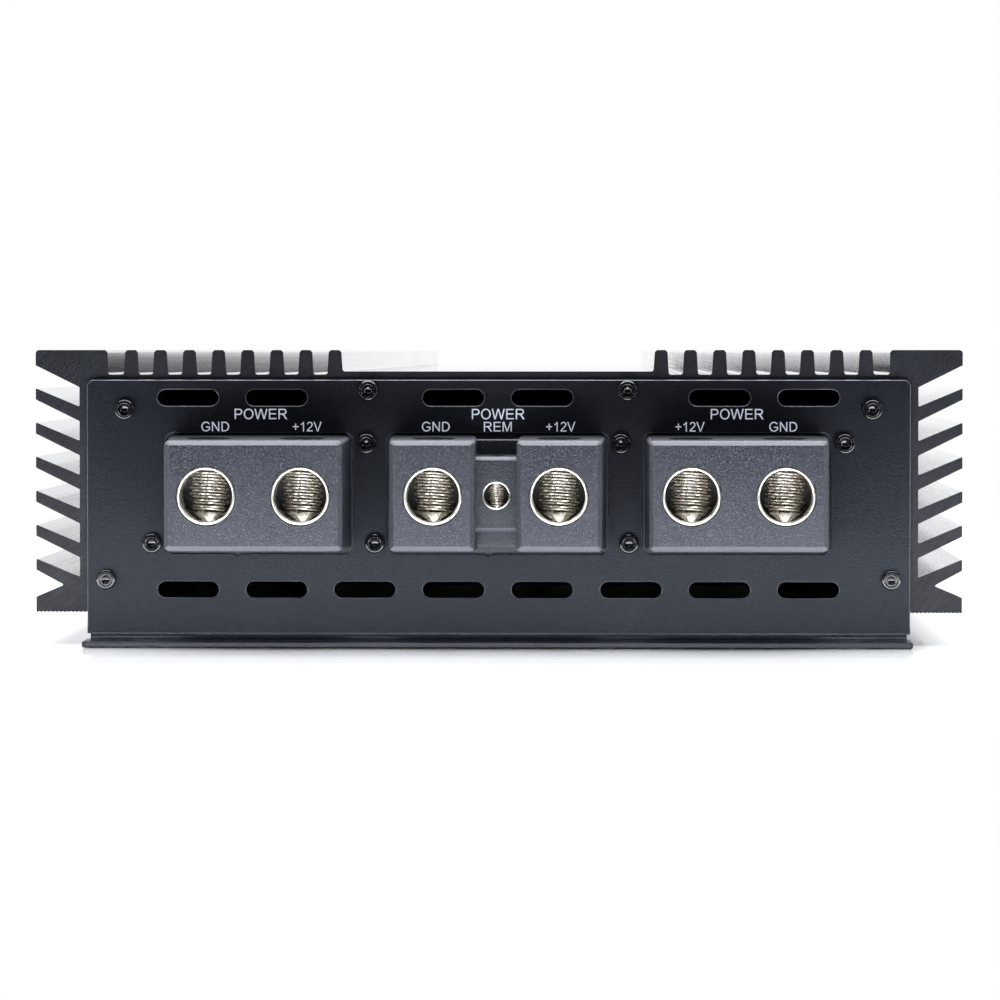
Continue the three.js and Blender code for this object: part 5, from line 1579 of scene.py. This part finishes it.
# plain sans-serif capitals, one unit high: (side gap, step to the next letter, outlines)
S, H = 0.132, 0.118
LETTERS = {
    "P": (0.108, 0.932, [
        [(0, 0), (S, 0), (S, 0.406), (0.40, 0.406)] + arc_pts(0.45, 0.703, 0.313, 0.297, -88, 90) + [(0, 1)],
        [(S, 0.524), (0.40, 0.524)] + arc_pts(0.44, 0.703, 0.188, 0.179, -88, 90) + [(S, 0.882)],
    ]),
    "O": (0.068, 1.087, [
        arc_pts(0.478, 0.5, 0.478, 0.517, 0, 352, 44),
        arc_pts(0.478, 0.5, 0.341, 0.399, 0, 351, 39),
    ]),
    "W": (0.013, 1.319, [
        [(0, 1), (0.266, 0), (0.404, 0), (0.645, 0.84), (0.885, 0), (1.022, 0), (1.289, 1), (1.152, 1), (0.955, 0.20),
         (0.722, 1), (0.567, 1), (0.335, 0.20), (0.137, 1)],
    ]),
    "E": (0.11, 0.932, [
        [(0, 0), (0.747, 0), (0.747, H), (S, H), (S, 0.455), (0.70, 0.455), (0.70, 0.573), (S, 0.573), (S, 1 - H),
         (0.727, 1 - H), (0.727, 1), (0, 1)],
    ]),
    "R": (0.11, 1.009, [
        [(0, 0), (S, 0), (S, 0.444), (0.29, 0.444), (0.40, 0.41), (0.51, 0.29), (0.695, 0), (0.858, 0), (0.665, 0.31), (0.56, 0.437)]
        + arc_pts(0.50, 0.722, 0.302, 0.278, -64, 90) + [(0, 1)],
        [(S, 0.562), (0.46, 0.562)] + arc_pts(0.48, 0.722, 0.185, 0.160, -86, 90) + [(S, 0.882)],
    ]),
    "G": (0.074, 1.087, [
        arc_pts(0.49, 0.5, 0.49, 0.517, 33, 312, 34)
        + [(0.926, 0.185), (0.926, 0.513), (0.50, 0.513), (0.50, 0.395), (0.79, 0.395), (0.79, 0.235)]
        + arc_pts(0.49, 0.5, 0.352, 0.399, 312, 38, 28),
    ]),
    "N": (0.106, 1.009, [
        [(0, 0), (0.126, 0), (0.126, 0.785), (0.652, 0), (0.788, 0), (0.788, 1), (0.662, 1), (0.662, 0.215), (0.136, 1), (0, 1)],
    ]),
    "D": (0.108, 1.009, [
        [(0, 0), (0.34, 0)] + arc_pts(0.36, 0.5, 0.46, 0.5, -88, 88, 18) + [(0.34, 1), (0, 1)],
        [(S, H), (0.32, H)] + arc_pts(0.34, 0.5, 0.343, 0.382, -87, 87, 18) + [(0.32, 1 - H), (S, 1 - H)],
    ]),
    "M": (0.103, 1.164, [
        [(0, 0), (0.127, 0), (0.127, 0.83), (0.412, 0), (0.533, 0), (0.829, 0.845), (0.829, 0), (0.956, 0), (0.956, 1),
         (0.778, 1), (0.476, 0.175), (0.189, 1), (0, 1)],
    ]),
    "1": (0.152, 0.777, [
        [(0.245, 0), (0.368, 0), (0.368, 1), (0.289, 1), (0.20, 0.885), (0, 0.757), (0, 0.636), (0.12, 0.69), (0.245, 0.782)],
    ]),
    "2": (0.042, 0.777, [
        [(0, 0), (0.66, 0), (0.66, H), (0.17, H), (0.25, 0.21), (0.42, 0.355), (0.56, 0.49), (0.632, 0.60)]
        + arc_pts(0.335, 0.715, 0.318, 0.287, 0, 168, 16) + [(0.145, 0.70)]
        + arc_pts(0.335, 0.715, 0.192, 0.175, 160, 6, 14) + [(0.51, 0.64), (0.44, 0.53), (0.28, 0.395), (0.11, 0.25), (0.025, 0.12)],
    ]),
    "V": (0.006, 0.932, [
        [(0, 1), (0.392, 0), (0.528, 0), (0.917, 1), (0.775, 1), (0.512, 0.28), (0.46, 0.115), (0.405, 0.28), (0.142, 1)],
    ]),
    "+": (0.078, 0.816, [
        [(0.27, 0.16), (0.388, 0.16), (0.388, 0.432), (0.66, 0.432), (0.66, 0.55), (0.388, 0.55), (0.388, 0.82), (0.27, 0.82),
         (0.27, 0.55), (0, 0.55), (0, 0.432), (0.27, 0.432)],
    ]),
}


def label(name, text, cx, cz, width, height):
    pen, loops = 0.0, []
    for ch in text:
        gap, step, outlines = LETTERS[ch]
        loops += [[(pen + gap + x, y) for x, y in lp] for lp in outlines]
        pen += step
    lo = min(x for lp in loops for x, _ in lp)
    hi = max(x for lp in loops for x, _ in lp)
    fit = [[((x - (lo + hi) / 2) * width / (hi - lo) + cx, (y - 0.5) * height + cz) for x, y in lp] for lp in loops]
    me = poly_curve(fit, 0.012, 0.004, 0)
    me.transform(Matrix.Scale(MM, 4) @ Matrix(((1, 0, 0, 0), (0, 0, 1, -FACE - 0.014), (0, 1, 0, 0), (0, 0, 0, 1))))
    bm = bmesh.new()
    bm.from_mesh(me)
    tidy(bm, 1e-7)
    bm.to_mesh(me)
    bm.free()
    me.name = name
    me.materials.clear()
    place(name, me, INK)


for i, (cx, names) in enumerate(
    (
        (-59.3, (("GND", -70.75), ("+12V", -47.7))),
        (0.1, (("GND", -15.5), ("REM", 0.0), ("+12V", 15.75))),
        (59.75, (("+12V", 48.0), ("GND", 71.25))),
    )
):
    label("print_power_%d" % (i + 1), "POWER", cx, 57.75, 13.2, 2.62)
    for j, (t, x) in enumerate(names):
        label("print_%d_%d" % (i + 1, j + 1), t, x, 54.6, 7.3 if t[0] == "+" else 7.0, 2.42)

# ---------------------------------------------------------------- floor, light, camera
floor_me = bpy.data.meshes.new("floor")
floor_me.from_pydata([(-7, -7, 0), (7, -7, 0), (7, 9, 0), (-7, 9, 0)], [], [(0, 1, 2, 3)])
floor = bpy.data.objects.new("floor", floor_me)
floor.location.z = -0.0002
scene.collection.objects.link(floor)
fm = Mat("studio_floor")
fn = fm.noise(30.0, 3.0, 0.6)
seen = fm.n("LightPath").outputs["Is Camera Ray"]
# ahead of the object the floor is painted dark for all but camera rays: painted shade that makes reflections of the
# floor fall off ahead of the object
ahead_shade = fm.n("MapRange", {"interpolation_type": "SMOOTHSTEP"}, Value=fm.sep(fm.co)[1], From_Min=-0.56, From_Max=-0.34).outputs[0]
ahead_shade = fm.math("MAXIMUM", ahead_shade, seen)
fm.set(Base_Color=fm.mix(ahead_shade, (0.02, 0.02, 0.02), fm.ramp(fn, (0.86, 0.86, 0.87), (0.89, 0.89, 0.9), 0.3, 0.7)), Roughness=0.07)
fm.put(fm.p.inputs["Specular IOR Level"], 0.2)
# away from the object the sweep reads as plain white, as a lit studio cove does
fx, fy, fz = fm.sep(fm.co)
ex = fm.math("MAXIMUM", fm.math("SUBTRACT", fm.math("ABSOLUTE", fx), 0.116), 0.0)
ey = fm.math("MAXIMUM", fm.math("SUBTRACT", fm.math("ABSOLUTE", fy), 0.31), 0.0)
away = fm.math("SQRT", fm.math("ADD", fm.math("MULTIPLY", ex, ex), fm.math("MULTIPLY", ey, ey)))
cove = fm.n("MapRange", {"interpolation_type": "SMOOTHSTEP"}, Value=away, From_Min=0.03, From_Max=0.28).outputs[0]
glow = fm.n("Emission", None, Color=(1, 1, 1, 1), Strength=1.0)
both = fm.n("MixShader", None, i0=fm.math("MULTIPLY", cove, seen))
fm.t.links.new(fm.p.outputs[0], both.inputs[1])
fm.t.links.new(glow.outputs[0], both.inputs[2])
fm.t.links.new(both.outputs[0], fm.out.inputs[0])
floor_me.materials.append(fm.m)


def area(name, at, to, sx, sy, power, color=(1, 1, 1), spread=180):
    li = bpy.data.lights.new(name, "AREA")
    li.shape = "RECTANGLE"
    li.size, li.size_y = sx, sy
    li.energy = power
    li.color = color
    li.spread = math.radians(spread)
    ob = bpy.data.objects.new(name, li)
    scene.collection.objects.link(ob)
    ob.location = at
    ob.rotation_mode = "QUATERNION"
    ob.rotation_quaternion = (Vector(to) - Vector(at)).to_track_quat("-Z", "Y")
    ob.visible_camera = False
    return ob


area("top_box", (0.0, 0.1, 1.2), (0, 0.1, 0), 2.0, 1.6, 74, (0.98, 0.99, 1.0))
area("front_strip", (-0.15, -1.25, 0.85), (0, -0.3, 0.03), 1.3, 0.2, 1.1, (1.0, 1.0, 1.0))
area("left_strip", (-1.1, -0.95, 0.4), (0, -0.3, 0.03), 0.2, 0.6, 1.6, (0.95, 0.98, 1.0))
area("right_strip", (1.1, -0.95, 0.42), (0, -0.3, 0.03), 0.2, 0.6, 2.2, (0.93, 0.97, 1.0))
area("low_strip", (0.0, -0.357, 0.0004), (0, -0.335, 0.06), 0.5, 0.074, 0.98, (0.95, 0.97, 1.0))

world = bpy.data.worlds.new("studio")
scene.world = world
world.use_nodes = True
wt = world.node_tree
wt.nodes.clear()
wo = wt.nodes.new("ShaderNodeOutputWorld")
bg_cam = wt.nodes.new("ShaderNodeBackground")
bg_cam.inputs[0].default_value = (1, 1, 1, 1)
bg_cam.inputs[1].default_value = 1.0
bg_env = wt.nodes.new("ShaderNodeBackground")
tc = wt.nodes.new("ShaderNodeTexCoord")
sp = wt.nodes.new("ShaderNodeSeparateXYZ")
wt.links.new(tc.outputs["Generated"], sp.inputs[0])
ramp_y = wt.nodes.new("ShaderNodeMapRange")
ramp_y.interpolation_type = "SMOOTHSTEP"
ramp_y.inputs["From Min"].default_value = -0.3
ramp_y.inputs["From Max"].default_value = 0.6
ramp_y.inputs["To Min"].default_value = 0.015
ramp_y.inputs["To Max"].default_value = 1.15
wt.links.new(sp.outputs[1], ramp_y.inputs[0])
bg_env.inputs[0].default_value = (0.97, 0.985, 1.0, 1)
wt.links.new(ramp_y.outputs[0], bg_env.inputs[1])
lp = wt.nodes.new("ShaderNodeLightPath")
mixw = wt.nodes.new("ShaderNodeMixShader")
wt.links.new(lp.outputs["Is Camera Ray"], mixw.inputs[0])
wt.links.new(bg_env.outputs[0], mixw.inputs[1])
wt.links.new(bg_cam.outputs[0], mixw.inputs[2])
wt.links.new(mixw.outputs[0], wo.inputs[0])

scene.view_settings.view_transform = "Standard"
scene.view_settings.look = "None"
scene.view_settings.exposure = 0.0

cam_data = bpy.data.cameras.new("camera")
cam_data.sensor_width = 36.0
cam_data.lens = 36.0 * 4510.0 / 1000.0
cam_data.clip_start, cam_data.clip_end = 0.05, 60.0
cam = bpy.data.objects.new("camera", cam_data)
scene.collection.objects.link(cam)
yaw, pitch = math.radians(1.505), math.radians(1.906)
look = Vector((-math.sin(yaw) * math.cos(pitch), math.cos(yaw) * math.cos(pitch), -math.sin(pitch)))
cam.location = (0.03015, -1.42815, 0.07377)
cam.rotation_mode = "QUATERNION"
cam.rotation_quaternion = look.to_track_quat("-Z", "Y")
scene.camera = cam
